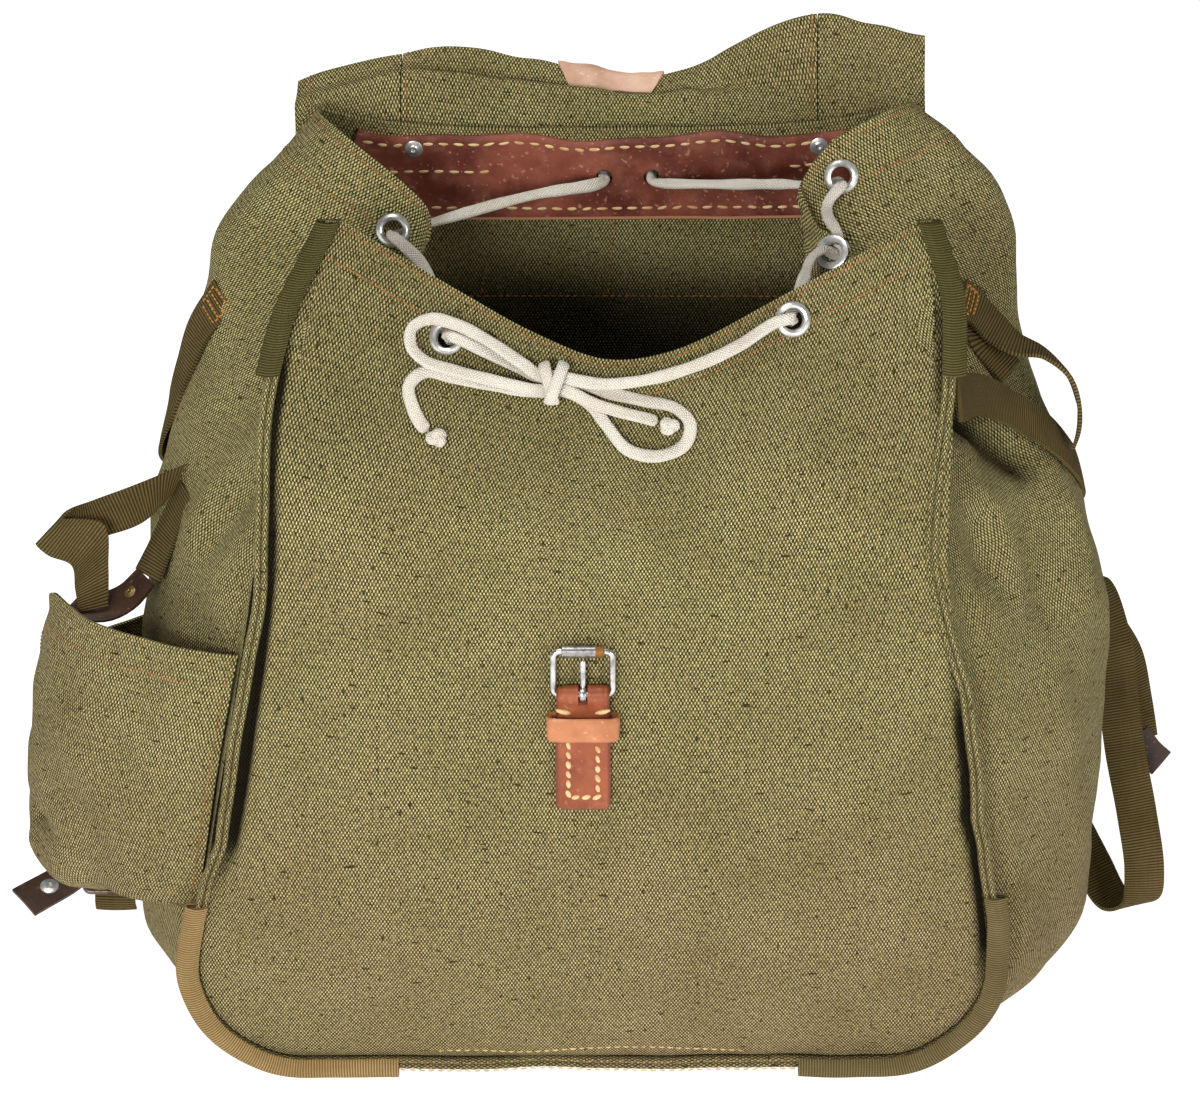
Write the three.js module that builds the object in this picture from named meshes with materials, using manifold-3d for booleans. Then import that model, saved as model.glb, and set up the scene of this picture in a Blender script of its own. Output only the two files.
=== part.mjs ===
// Canvas rucksack standing with its mouth open and its lid thrown back.
// Millimetres, +Z up, the front faces -Y, the origin is on the floor under the middle of the base.
import * as THREE from "three";
import { mergeVertices } from "three/addons/utils/BufferGeometryUtils.js";
import Module from "manifold-3d";

const wasm = await Module();
wasm.setup();

// Materials of the walls and the small gaps between pieces
const CANVAS = 1.6;
const LEATHER = 2.2;
const WEBBING = 1.8;
const WEBBING_WIDTH = 20;
const SEAM_GAP = 0.35;

// Body: heights of the bottom seam and of the mouth, and the radius of the lower corners
const SEAM_FOOT = 11;
const CORNER = 52;
const MOUTH = 412;
const BOTTOM_SWELL = 22;
const SIDE_STEPS = 13;
const CORNER_STEPS = 4;
const PANEL_STEPS = 12;
const BASE_STEPS = 6;
const DEPTH_STEPS = 12;

// One row for each height: the front and back seams, the swell of the front panel and of the side strip,
// and how deep the side strip folds inward. swellAt and foldAt run from 0 at the front to 1 at the back.
const SECTIONS = [
  { z: 11, left: -182, right: 190, front: -95, backLeft: -172, backRight: 182, back: 88, crown: 0,
    swellLeft: 36, swellRight: 56, swellAt: 0.5, foldLeft: 0, foldRight: 0, foldAt: 0.3 },
  { z: 70, left: -180, right: 189, front: -99, backLeft: -172, backRight: 182, back: 91, crown: 16,
    swellLeft: 40, swellRight: 62, swellAt: 0.5, foldLeft: 0, foldRight: 0, foldAt: 0.3 },
  { z: 130, left: -171, right: 181, front: -104, backLeft: -172, backRight: 182, back: 93, crown: 18,
    swellLeft: 42, swellRight: 68, swellAt: 0.5, foldLeft: 0, foldRight: 0, foldAt: 0.3 },
  { z: 200, left: -158, right: 172, front: -105, backLeft: -170, backRight: 181, back: 93, crown: 15,
    swellLeft: 44, swellRight: 71, swellAt: 0.5, foldLeft: 0, foldRight: 0, foldAt: 0.3 },
  { z: 270, left: -146, right: 163, front: -99, backLeft: -166, backRight: 178, back: 92, crown: 13,
    swellLeft: 46, swellRight: 64, swellAt: 0.52, foldLeft: 10, foldRight: 8, foldAt: 0.32 },
  { z: 330, left: -140, right: 164, front: -84, backLeft: -156, backRight: 174, back: 89, crown: 6,
    swellLeft: 40, swellRight: 45, swellAt: 0.62, foldLeft: 38, foldRight: 34, foldAt: 0.36 },
  { z: 375, left: -129, right: 164, front: -63, backLeft: -140, backRight: 166, back: 86, crown: 2,
    swellLeft: 37, swellRight: 42, swellAt: 0.74, foldLeft: 64, foldRight: 73, foldAt: 0.42 },
  { z: 412, left: -108, right: 152, front: -40, backLeft: -124, backRight: 154, back: 82, crown: 0,
    swellLeft: 6, swellRight: 10, swellAt: 0.8, foldLeft: 49, foldRight: 57, foldAt: 0.5 },
];
const FOLD_REACH = 0.5;

// Mouth of the front panel from the left corner to the right one: how far it dips and how far it bows forward
const FRONT_RIM = [
  { u: 0, dip: 0, bow: 0 },
  { u: 0.2, dip: 25, bow: 20 },
  { u: 0.34, dip: 40, bow: 36 },
  { u: 0.46, dip: 49, bow: 44 },
  { u: 0.58, dip: 45, bow: 40 },
  { u: 0.78, dip: 24, bow: 22 },
  { u: 1, dip: 0, bow: 0 },
];
const RIM_REACH = 180;

// Mouth of the side strip from front to back: its edge drops behind the front rim, rises at the tip
// of the fold and again at the back corner; its back half leans forward, so the eyelets face the front
const SIDE_RIM = [
  { w: 0, left: 0, right: 0 },
  { w: 0.16, left: -20, right: -19 },
  { w: 0.27, left: -35, right: -31 },
  { w: 0.36, left: -43, right: -22 },
  { w: 0.42, left: -44, right: -22 },
  { w: 0.5, left: -20, right: -4 },
  { w: 0.58, left: -10, right: 10 },
  { w: 0.68, left: -2, right: 16 },
  { w: 0.8, left: 6, right: 19 },
  { w: 0.9, left: 10, right: 17 },
  { w: 1, left: 12, right: 14 },
];
const FLAP = { lean: 14, rise: 0.47 };
const BACK_DIP = 13;
const BACK_CROWN = 6;

// Welt seam and the tapes that bind it
const WELT = { width: 8.5, thick: 3 };
const TAPE = { thick: 1, gap: 0.25, reach: 8.4 };

const steps = (count) => Array.from({ length: count + 1 }, (_, i) => i / count);
const lerp = THREE.MathUtils.lerp;
const smoothstep = THREE.MathUtils.smoothstep;
const vec = (x, y, z) => new THREE.Vector3(x, y, z);

/** A smooth function of `key` through one named column of a table. */
function column(rows, key, name) {
  const last = rows.length - 1;
  const slopes = rows.map((_, i) => {
    const before = rows[Math.max(0, i - 1)];
    const after = rows[Math.min(last, i + 1)];
    return (after[name] - before[name]) / (after[key] - before[key]);
  });
  return (at) => {
    const place = THREE.MathUtils.clamp(at, rows[0][key], rows[last][key]);
    let i = 0;
    while (i < last - 1 && place > rows[i + 1][key]) i += 1;
    const span = rows[i + 1][key] - rows[i][key];
    const t = (place - rows[i][key]) / span;
    const rise = t * t * (3 - 2 * t);
    return (
      lerp(rows[i][name], rows[i + 1][name], rise) +
      span * (slopes[i] * t * (1 - t) ** 2 - slopes[i + 1] * t * t * (1 - t))
    );
  };
}

/** Columns of a table as an object of smooth functions. */
function columns(rows, key) {
  const names = Object.keys(rows[0]).filter((name) => name !== key);
  return Object.fromEntries(names.map((name) => [name, column(rows, key, name)]));
}

/** A closed geometry from points and polygons, its faces turned outward. */
function closedGeometry(points, polygons) {
  const triangles = polygons.flatMap((ring) =>
    ring.slice(2).map((_, k) => [ring[0], ring[k + 1], ring[k + 2]]),
  );
  const volume = triangles.reduce(
    (sum, [a, b, c]) => sum + points[a].dot(points[b].clone().cross(points[c])),
    0,
  );
  const turned = volume < 0 ? triangles.map(([a, b, c]) => [a, c, b]) : triangles;
  return new THREE.BufferGeometry()
    .setAttribute("position", new THREE.Float32BufferAttribute(points.flatMap((p) => p.toArray()), 3))
    .setIndex(turned.flat());
}

/** The unit normal of a grid of points at each of its places. */
function gridNormals(grid) {
  const lastRow = grid.length - 1;
  const lastCol = grid[0].length - 1;
  return grid.map((row, i) =>
    row.map((_, j) => {
      const down = grid[Math.min(lastRow, i + 1)][j].clone().sub(grid[Math.max(0, i - 1)][j]);
      const across = grid[i][Math.min(lastCol, j + 1)].clone().sub(grid[i][Math.max(0, j - 1)]);
      return across.cross(down).normalize();
    }),
  );
}

/** A wall of one thickness on the back of a grid of points; `side` is 1 or -1 and picks the back. */
function wall(grid, thickness, side) {
  const normals = gridNormals(grid);
  const back = grid.map((row, i) =>
    row.map((p, j) => p.clone().addScaledVector(normals[i][j], side * thickness)),
  );
  const rows = grid.length;
  const cols = grid[0].length;
  const id = (layer, i, j) => layer * rows * cols + i * cols + j;
  const polygons = [];
  for (let i = 0; i < rows - 1; i += 1) {
    for (let j = 0; j < cols - 1; j += 1) {
      polygons.push([id(0, i, j), id(0, i, j + 1), id(0, i + 1, j + 1), id(0, i + 1, j)]);
      polygons.push([id(1, i, j), id(1, i + 1, j), id(1, i + 1, j + 1), id(1, i, j + 1)]);
    }
    polygons.push([id(0, i, 0), id(0, i + 1, 0), id(1, i + 1, 0), id(1, i, 0)]);
    polygons.push([id(0, i + 1, cols - 1), id(0, i, cols - 1), id(1, i, cols - 1), id(1, i + 1, cols - 1)]);
  }
  for (let j = 0; j < cols - 1; j += 1) {
    polygons.push([id(0, 0, j + 1), id(0, 0, j), id(1, 0, j), id(1, 0, j + 1)]);
    polygons.push([id(0, rows - 1, j), id(0, rows - 1, j + 1), id(1, rows - 1, j + 1), id(1, rows - 1, j)]);
  }
  return closedGeometry([...grid.flat(), ...back.flat()], polygons);
}

/** The point of a grid at a fractional row and column. */
function gridPoint(grid, row, col) {
  const i = Math.min(Math.floor(row), grid.length - 2);
  const j = Math.min(Math.floor(col), grid[0].length - 2);
  const above = grid[i][j].clone().lerp(grid[i][j + 1], col - j);
  const below = grid[i + 1][j].clone().lerp(grid[i + 1][j + 1], col - j);
  return above.lerp(below, row - i);
}

/** A solid swept through frames {at, side, face}, with section points [along side, along face]. */
function sweep(frames, section, closed = false) {
  const count = section.length;
  const points = frames.flatMap(({ at, side, face }) =>
    section.map(([a, b]) => at.clone().addScaledVector(side, a).addScaledVector(face, b)),
  );
  const polygons = [];
  const rings = closed ? frames.length : frames.length - 1;
  for (let i = 0; i < rings; i += 1) {
    const next = (i + 1) % frames.length;
    for (let k = 0; k < count; k += 1) {
      const m = (k + 1) % count;
      polygons.push([i * count + k, i * count + m, next * count + m, next * count + k]);
    }
  }
  if (!closed) {
    const outline = section.map(([a, b]) => new THREE.Vector2(a, b));
    const last = (frames.length - 1) * count;
    const order = THREE.ShapeUtils.isClockWise(outline) ? 1 : -1;
    THREE.ShapeUtils.triangulateShape(outline, []).forEach((corner) => {
      const [a, b, c] = order > 0 ? corner : [...corner].reverse();
      polygons.push([a, b, c]);
      polygons.push([last + c, last + b, last + a]);
    });
  }
  return closedGeometry(points, polygons);
}

const box2 = (width, thick) => [
  [-width / 2, -thick / 2],
  [width / 2, -thick / 2],
  [width / 2, thick / 2],
  [-width / 2, thick / 2],
];

/** A geometry as a solid that can be joined or cut. */
function toSolid(geometry) {
  const loose = geometry.index ? geometry.toNonIndexed() : geometry;
  const bare = new THREE.BufferGeometry().setAttribute("position", loose.getAttribute("position"));
  const merged = mergeVertices(bare, 1e-3);
  const triVerts = new Uint32Array(merged.index.array);
  const vertProperties = merged.attributes.position.array;
  return new wasm.Manifold(new wasm.Mesh({ numProp: 3, vertProperties, triVerts }));
}

function toGeometry(solid) {
  const mesh = solid.getMesh();
  return new THREE.BufferGeometry()
    .setAttribute("position", new THREE.BufferAttribute(new Float32Array(mesh.vertProperties), 3))
    .setIndex(new THREE.BufferAttribute(new Uint32Array(mesh.triVerts), 1));
}

const cut = (geometry, tools) =>
  toGeometry(tools.reduce((solid, tool) => solid.subtract(toSolid(tool)), toSolid(geometry)));
const joined = (first, second) => toGeometry(toSolid(first).add(toSolid(second)));

/** A geometry made round the Y axis, moved to a place with that axis turned to a direction. */
function aimed(geometry, at, axis) {
  const turn = new THREE.Quaternion().setFromUnitVectors(vec(0, 1, 0), axis);
  return geometry.applyMatrix4(new THREE.Matrix4().compose(at, turn, vec(1, 1, 1)));
}

/** A ring round the Y axis with a closed profile of [radius, height] points. */
function ring(profile, sides) {
  const frames = steps(sides).slice(1).map((t) => ({
    at: vec(0, 0, 0),
    side: vec(Math.cos(2 * Math.PI * t), 0, Math.sin(2 * Math.PI * t)),
    face: vec(0, 1, 0),
  }));
  return sweep(frames, profile, true);
}

const circle = (radius, sides) =>
  steps(sides).slice(1).map((t) => [radius * Math.cos(2 * Math.PI * t), radius * Math.sin(2 * Math.PI * t)]);

/** A flat strap through rows that give a place and, as fx, fy, fz, the way its face looks there. */
function strap(rows, width, thick, count) {
  const path = new THREE.CatmullRomCurve3(rows.map(({ x, y, z }) => vec(x, y, z)), false, "centripetal");
  const faces = rows.map(({ fx, fy, fz }) => vec(fx, fy, fz).normalize());
  const frames = steps(count).map((t) => {
    const place = t * (rows.length - 1);
    const i = Math.min(Math.floor(place), rows.length - 2);
    const looks = faces[i].clone().lerp(faces[i + 1], place - i);
    const along = path.getTangent(t);
    const side = along.clone().cross(looks).normalize();
    return { at: path.getPoint(t), side, face: side.clone().cross(along).normalize() };
  });
  return sweep(frames, box2(width, thick));
}

/** A closed wire frame in the XY plane, its lower bar on the X axis. */
function wireFrame({ width, height, corner, wire }) {
  const turns = [
    { x: width / 2 - corner, y: height - corner, from: 0 },
    { x: corner - width / 2, y: height - corner, from: 0.25 },
    { x: corner - width / 2, y: corner, from: 0.5 },
    { x: width / 2 - corner, y: corner, from: 0.75 },
  ];
  const frames = turns.flatMap(({ x, y, from }) =>
    steps(2).map((t) => {
      const angle = 2 * Math.PI * (from + t / 4);
      const side = vec(Math.cos(angle), Math.sin(angle), 0);
      return { at: vec(x, y, 0).addScaledVector(side, corner), side, face: vec(0, 0, 1) };
    }),
  );
  return sweep(frames, circle(wire, 6), true);
}

const rucksack = new THREE.Group();

/** A named piece of the rucksack with a material of its own. */
function piece(name, geometry, color, roughness = 0.9, metalness = 0) {
  const mesh = new THREE.Mesh(geometry, new THREE.MeshStandardMaterial({ color, roughness, metalness }));
  mesh.name = name;
  rucksack.add(mesh);
  return mesh;
}

// Stations of the side strip: down the left side, round the lower corners and up the right side
const body = columns(SECTIONS, "z");
const sideRim = columns(SIDE_RIM, "w");

function sideStation(hand, z, arc = 0) {
  const right = hand > 0;
  const turn = arc * (Math.PI / 2);
  const inset = CORNER * (1 - Math.cos(turn));
  const height = arc > 0 ? SEAM_FOOT + CORNER * (1 - Math.sin(turn)) : z;
  const edge = right ? body.right(height) : body.left(height);
  const backEdge = right ? body.backRight(height) : body.backLeft(height);
  const swell = right ? body.swellRight(height) : body.swellLeft(height);
  const rim = right ? sideRim.right : sideRim.left;
  const lift = smoothstep(height, MOUTH - 90, MOUTH);
  return {
    lift,
    edgeRise: (w) => lift * (rim(w) - w * rim(1)),
    front: vec(edge - hand * inset, body.front(height), height),
    back: vec(backEdge - hand * inset, body.back(height), height + lift * rim(1)),
    out: vec(hand * Math.cos(turn), 0, -Math.sin(turn)),
    swell: lerp(swell, BOTTOM_SWELL, smoothstep(arc, 0, 1)),
    swellAt: body.swellAt(height),
    fold: right ? body.foldRight(height) : body.foldLeft(height),
    foldAt: body.foldAt(height),
    crown: body.crown(height),
    rim: THREE.MathUtils.clamp((height - MOUTH + RIM_REACH) / RIM_REACH, 0, 1),
  };
}

function sideStations(hand) {
  const straight = steps(SIDE_STEPS).map((t) => sideStation(hand, lerp(MOUTH, SEAM_FOOT + CORNER, t)));
  const round = steps(CORNER_STEPS).slice(1).map((t) => sideStation(hand, 0, t));
  return [...straight, ...round];
}

const leftStations = sideStations(-1);
const rightStations = sideStations(1);
const lastLeft = leftStations[leftStations.length - 1];
const lastRight = rightStations[rightStations.length - 1];
const bottomStations = steps(BASE_STEPS)
  .slice(1, -1)
  .map((u) => ({
    ...lastLeft,
    front: lastLeft.front.clone().lerp(lastRight.front, u),
    back: lastLeft.back.clone().lerp(lastRight.back, u),
    out: vec(0, 0, -1),
  }));
const stations = [...leftStations, ...bottomStations, ...[...rightStations].reverse()];

/** A point of the side strip's outer face at a station, w from 0 at the front seam to 1 at the back seam. */
function sidePoint(station, w) {
  const edge = vec(0, CANVAS * (1 + Math.min(1, 2 * station.lift)) + SEAM_GAP, 0);
  const point = station.front.clone().add(edge).lerp(station.back.clone().sub(edge), w);
  const round = Math.sin(Math.PI * w ** (Math.log(0.5) / Math.log(station.swellAt)));
  const crease = Math.max(0, 1 - Math.abs(w - station.foldAt) / FOLD_REACH) ** 1.3;
  point.addScaledVector(station.out, station.swell * round - station.fold * crease);
  const lean = station.lift * FLAP.lean * Math.sin(Math.PI * Math.max(0, 2 * w - 1));
  point.y -= lean;
  point.z = Math.max(0, point.z + station.edgeRise(w) + FLAP.rise * lean);
  return point;
}

const sideGrid = stations.map((station) => steps(DEPTH_STEPS).map((w) => sidePoint(station, w)));

// Front panel, row by row between its two side seams
const frontRim = columns(FRONT_RIM, "u");
const frontGrid = leftStations.map((left, k) => {
  const right = rightStations[k];
  return steps(PANEL_STEPS).map((u) => {
    const point = left.front.clone().lerp(right.front, u);
    const pillow = 1 - (2 * u - 1) ** 4;
    point.y -= left.crown * pillow + left.rim ** 2 * frontRim.bow(u);
    point.z -= smoothstep(left.rim, 0, 1) * frontRim.dip(u);
    return point;
  });
});

// Back panel, whose top edge dips between two raised corners
const backGrid = leftStations.map((left, k) => {
  const right = rightStations[k];
  return steps(PANEL_STEPS).map((u) => {
    const point = left.back.clone().lerp(right.back, u);
    const pillow = 1 - (2 * u - 1) ** 4;
    point.y += BACK_CROWN * pillow * smoothstep(point.z, SEAM_FOOT, 90);
    point.z -= left.lift * BACK_DIP * pillow;
    return point;
  });
});

// Eyelets round the mouth, at a row and column of the panel or strip that they are set in
const EYELET = { bore: 4.6, neck: 5.2, hole: 5.7, flange: 8, gap: 1.4, lip: 1.1, sides: 10, reach: 0.35 };
const lastRow = sideGrid.length - 1;
const EYELETS = [
  { name: "eyelet_front_left", grid: frontGrid, outward: -1, row: 0.68, col: 2.58 },
  { name: "eyelet_front_right", grid: frontGrid, outward: -1, row: 0.42, col: 9.2 },
  { name: "eyelet_side_left_back", grid: sideGrid, outward: 1, row: 0.54, col: 6.31 },
  { name: "eyelet_side_right_back", grid: sideGrid, outward: 1, row: lastRow - 0.4, col: 6.6 },
  { name: "eyelet_side_left_front", grid: sideGrid, outward: 1, row: 0.36, col: 4.1 },
  { name: "eyelet_side_right_front", grid: sideGrid, outward: 1, row: lastRow - 0.36, col: 4.46 },
].map((eyelet) => {
  const near = (rows, cols) => gridPoint(eyelet.grid, eyelet.row + rows, eyelet.col + cols);
  const reach = EYELET.reach;
  const across = near(0, reach).sub(near(0, -reach));
  const down = near(reach, 0).sub(near(-reach, 0));
  const axis = across.cross(down).normalize().multiplyScalar(eyelet.outward);
  return { ...eyelet, at: near(0, 0).addScaledVector(axis, -CANVAS / 2), axis };
});
const flangeAt = CANVAS / 2 + EYELET.gap;
const eyeletProfile = [
  [EYELET.bore, -flangeAt - EYELET.lip],
  [EYELET.bore, flangeAt + EYELET.lip],
  [EYELET.flange, flangeAt],
  [EYELET.neck, flangeAt],
  [EYELET.neck, -flangeAt],
  [EYELET.flange, -flangeAt],
];
const eyeletHoles = (grid) =>
  EYELETS.filter((eyelet) => eyelet.grid === grid).map(({ at, axis }) =>
    aimed(new THREE.CylinderGeometry(EYELET.hole, EYELET.hole, 12, EYELET.sides), at, axis),
  );

// Holes for the drawcord through the leather band and the back panel
const CORD_HOLES = { x: [9.9, 32.7], z: 387.5, y: 88, radius: 4 };
const cordHole = new THREE.CylinderGeometry(CORD_HOLES.radius, CORD_HOLES.radius, 24, 10);
const cordHoles = CORD_HOLES.x.map((x) => cordHole.clone().translate(x, CORD_HOLES.y, CORD_HOLES.z));

const OLIVE = 0x6f6b45;
const STEEL = 0x9a968c;
piece("front_panel", cut(wall(frontGrid, CANVAS, 1), eyeletHoles(frontGrid)), OLIVE);
piece("gusset", cut(wall(sideGrid, CANVAS, -1), eyeletHoles(sideGrid)), OLIVE);
piece("back_panel", cut(wall(backGrid, CANVAS, -1), cordHoles), OLIVE);
EYELETS.forEach(({ name, at, axis }) =>
  piece(name, aimed(ring(eyeletProfile, EYELET.sides), at, axis), STEEL, 0.3, 1),
);

// Welt seams round the front and the back panel, and the tapes that bind the front one
/** The station of the strip at a fractional place in the list. */
function stationAt(place) {
  const i = Math.min(Math.floor(place), stations.length - 2);
  const blend = (name) => stations[i][name].clone().lerp(stations[i + 1][name], place - i);
  return { front: blend("front"), back: blend("back"), out: blend("out").normalize() };
}

/** Frames of a seam from one place of the station list to another; `edge` is front or back. */
function seamFrames(edge, from, to) {
  const between = stations.map((_, i) => i).filter((i) => i > from && i < to);
  const away = edge === "front" ? -1 : 1;
  return [from, ...between, to].map((place) => {
    const station = stationAt(place);
    const at = station[edge].clone().addScaledVector(station.out, SEAM_GAP + WELT.width / 2);
    at.y += (away * WELT.thick) / 2;
    return { at, side: station.out, face: vec(0, away, 0) };
  });
}

const tapeEnd = WELT.width / 2 + TAPE.gap;
const tapeFace = WELT.thick / 2 + TAPE.gap;
const tapeSection = [
  [tapeEnd - TAPE.reach, tapeFace],
  [tapeEnd, tapeFace],
  [tapeEnd, -tapeFace],
  [tapeEnd - TAPE.reach, -tapeFace],
  [tapeEnd - TAPE.reach, -tapeFace - TAPE.thick],
  [tapeEnd + TAPE.thick, -tapeFace - TAPE.thick],
  [tapeEnd + TAPE.thick, tapeFace + TAPE.thick],
  [tapeEnd - TAPE.reach, tapeFace + TAPE.thick],
];
const lastStation = stations.length - 1;
const TAPES = [
  { name: "binding_upper_left", from: 0, to: 2.2, color: 0x5d5a30 },
  { name: "binding_lower_left", from: 11.7, to: 17.95, color: 0xb0905a },
  { name: "binding_lower_right", from: 22.2, to: lastStation - 11.5, color: 0x6d5d38 },
  { name: "binding_upper_right", from: lastStation - 2.2, to: lastStation, color: 0x5d5a30 },
];
const weltSection = box2(WELT.width, WELT.thick);
piece("front_welt", sweep(seamFrames("front", 0, lastStation), weltSection), OLIVE);
piece("back_welt", sweep(seamFrames("back", 0, lastStation), weltSection), OLIVE);
TAPES.forEach(({ name, from, to, color }) =>
  piece(name, sweep(seamFrames("front", from, to), tapeSection), color),
);

// Leather band inside the back of the mouth
const BAND = { top: 0.06, foot: 1.72, start: 0.07, end: 0.93, cols: 12, rows: 3 };
const backNormals = gridNormals(backGrid);
const bandGrid = steps(BAND.rows).map((v) =>
  steps(BAND.cols).map((t) => {
    const row = lerp(BAND.top, BAND.foot, v);
    const col = lerp(BAND.start, BAND.end, t) * PANEL_STEPS;
    const inward = gridPoint(backNormals, row, col).normalize();
    return gridPoint(backGrid, row, col).addScaledVector(inward, -CANVAS - SEAM_GAP);
  }),
);
piece("back_band", cut(wall(bandGrid, LEATHER, -1), cordHoles), 0x5a2a1c, 0.6);
const RIVET = { head: 4.2, crown: 3, height: 1.4, sides: 10 };
const rivet = (at, axis) =>
  aimed(new THREE.CylinderGeometry(RIVET.crown, RIVET.head, RIVET.height, RIVET.sides), at, axis);
const BAND_RIVETS = [
  { name: "band_rivet_left", row: 0.45, col: 1.37 },
  { name: "band_rivet_right", row: 0.45, col: 10.75 },
];
BAND_RIVETS.forEach(({ name, row, col }) => {
  const axis = gridPoint(gridNormals(bandGrid), row, col).normalize().negate();
  const at = gridPoint(bandGrid, row, col).addScaledVector(axis, LEATHER + SEAM_GAP + RIVET.height / 2);
  piece(name, rivet(at, axis), STEEL, 0.3, 1);
});

// Lid thrown back: heights of its first ridge, of the hollow behind it and of its crest along x
const LID = [
  { x: -137, ridge: 416, dip: 420, crest: 426 },
  { x: -110, ridge: 428, dip: 430, crest: 435 },
  { x: -87, ridge: 435, dip: 433, crest: 440 },
  { x: -60, ridge: 432, dip: 428, crest: 442 },
  { x: -10, ridge: 425.5, dip: 423, crest: 433 },
  { x: 38, ridge: 423, dip: 421, crest: 428 },
  { x: 60, ridge: 421, dip: 423, crest: 434 },
  { x: 84, ridge: 420, dip: 430, crest: 450 },
  { x: 112, ridge: 417, dip: 434, crest: 458 },
  { x: 135, ridge: 416, dip: 432, crest: 454 },
  { x: 163, ridge: 413, dip: 426, crest: 447 },
];
const LID_SEAMS = { left: -87, right: 112 };
// Course of the lid from its seam on the back panel over the crest and down behind it
const LID_COURSE = [
  { y: 101, of: "ridge", drop: 0 },
  { y: 109, of: "dip", drop: 0 },
  { y: 118, of: "crest", drop: 0 },
  { y: 127, of: "crest", drop: 8 },
  { y: 133, of: "crest", drop: 45 },
  { y: 137, of: "crest", drop: 110 },
  { y: 139, of: "crest", drop: 175 },
  { y: 140, of: "crest", drop: 235 },
];
const LID_HINGE = { row: 0.75, gap: 0.8, overWelt: 4.6, joint: 0.6 };
const lidRidge = columns(LID, "x");

function lidColumn(x) {
  const edges = [backGrid[0][0].x, backGrid[0][PANEL_STEPS].x];
  const u = THREE.MathUtils.clamp((x - edges[0]) / (edges[1] - edges[0]), 0.02, 0.98);
  const hinge = gridPoint(backGrid, LID_HINGE.row, u * PANEL_STEPS);
  const inside = smoothstep(Math.min(x - edges[0], edges[1] - x), 4, 26);
  const start = vec(x, hinge.y + lerp(LID_HINGE.overWelt, LID_HINGE.gap, inside), hinge.z);
  return [start, ...LID_COURSE.map(({ y, of, drop }) => vec(x, y, lidRidge[of](x) - drop))];
}

function lidGrid(from, to, count) {
  const across = steps(count).map((t) => lidColumn(lerp(from, to, t)));
  return across[0].map((_, i) => across.map((line) => line[i]));
}

const lidMiddle = lidGrid(LID_SEAMS.left + LID_HINGE.joint, LID_SEAMS.right - LID_HINGE.joint, 12);
piece("lid_panel", wall(lidMiddle, CANVAS, -1), OLIVE);
piece("lid_side_left", wall(lidGrid(LID[0].x, LID_SEAMS.left, 3), CANVAS, -1), OLIVE);
piece("lid_side_right", wall(lidGrid(LID_SEAMS.right, LID[LID.length - 1].x, 3), CANVAS, -1), OLIVE);

// Side pocket on the left: how far its wall stands off the side strip at each height
const POCKET = [
  { z: 80, depth: 2.6 },
  { z: 81.5, depth: 24 },
  { z: 85, depth: 41 },
  { z: 94, depth: 50 },
  { z: 115, depth: 53 },
  { z: 150, depth: 53.5 },
  { z: 190, depth: 52 },
  { z: 226, depth: 48 },
];
const POCKET_EDGE = 2.6;
const POCKET_SPAN = { start: 0.035, end: 0.76, fullAt: 0.42, cols: 10 };
const pocketGrid = [...POCKET].reverse().map(({ z, depth }) => {
  const station = sideStation(-1, z);
  return steps(POCKET_SPAN.cols).map((t) => {
    const w = lerp(POCKET_SPAN.start, POCKET_SPAN.end, t);
    const round = Math.sin(Math.PI * t ** (Math.log(0.5) / Math.log(POCKET_SPAN.fullAt))) ** 0.75;
    return sidePoint(station, w).addScaledVector(station.out, lerp(POCKET_EDGE, depth, round));
  });
});
piece("side_pocket", wall(pocketGrid, CANVAS, -1), OLIVE);

// Leather patch on the inner face of the lid, and the closing strap on its outer face
const PATCH = { top: 3, foot: 2.1, start: 4.65, end: 7.5, rows: 2, cols: 4, thick: 1.8, gap: 0.8 };
const lidNormals = gridNormals(lidMiddle);
const patchGrid = steps(PATCH.rows).map((v) =>
  steps(PATCH.cols).map((t) => {
    const row = lerp(PATCH.foot, PATCH.top, v);
    const col = lerp(PATCH.start, PATCH.end, t);
    const outward = gridPoint(lidNormals, row, col).normalize();
    return gridPoint(lidMiddle, row, col).addScaledVector(outward, PATCH.gap + PATCH.thick);
  }),
);
piece("lid_patch", wall(patchGrid, PATCH.thick, -1), 0xc49a80, 0.7);
const LID_STRAP = [
  { x: 0, y: 137.8, z: 345, fx: 0, fy: 1, fz: 0.06 },
  { x: 0, y: 140.8, z: 262, fx: 0, fy: 1, fz: 0.04 },
  { x: 0, y: 142, z: 200, fx: 0, fy: 1, fz: 0.02 },
  { x: 0, y: 142.2, z: 130, fx: 0, fy: 1, fz: 0 },
];
piece("lid_strap", strap(LID_STRAP, 24, LEATHER, 8), 0xa85a32, 0.6);

// Front fastening, made flat on the panel: X to the right, Y up along the panel, Z out of it
const FASTENING = { x: 0.4, col: 5.85, bar: 218, foot: 161, lift: 0.6 };
const BUCKLE = { width: 26.5, height: 20.9, corner: 3.2, wire: 1.5 };
const FOLD = { bore: 1.95, radius: 4.1 };
const TAB = { width: 25, ears: 20.6, length: 57, thick: 4.4, slot: 6.4, slotFoot: 6.2, shoulder: 13 };
const KEEPER = { width: 33, inner: 28.8, top: -10, foot: -21, back: 0.5, front: 10.2, wall: 2.1, chamfer: 1 };
const PRONG = { width: 3, length: 17, thick: 1.8, eye: 3.2, bore: 1.85 };
const ROLLER = { length: 19, bore: 1.85, radius: 2.75, sides: 12 };

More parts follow.
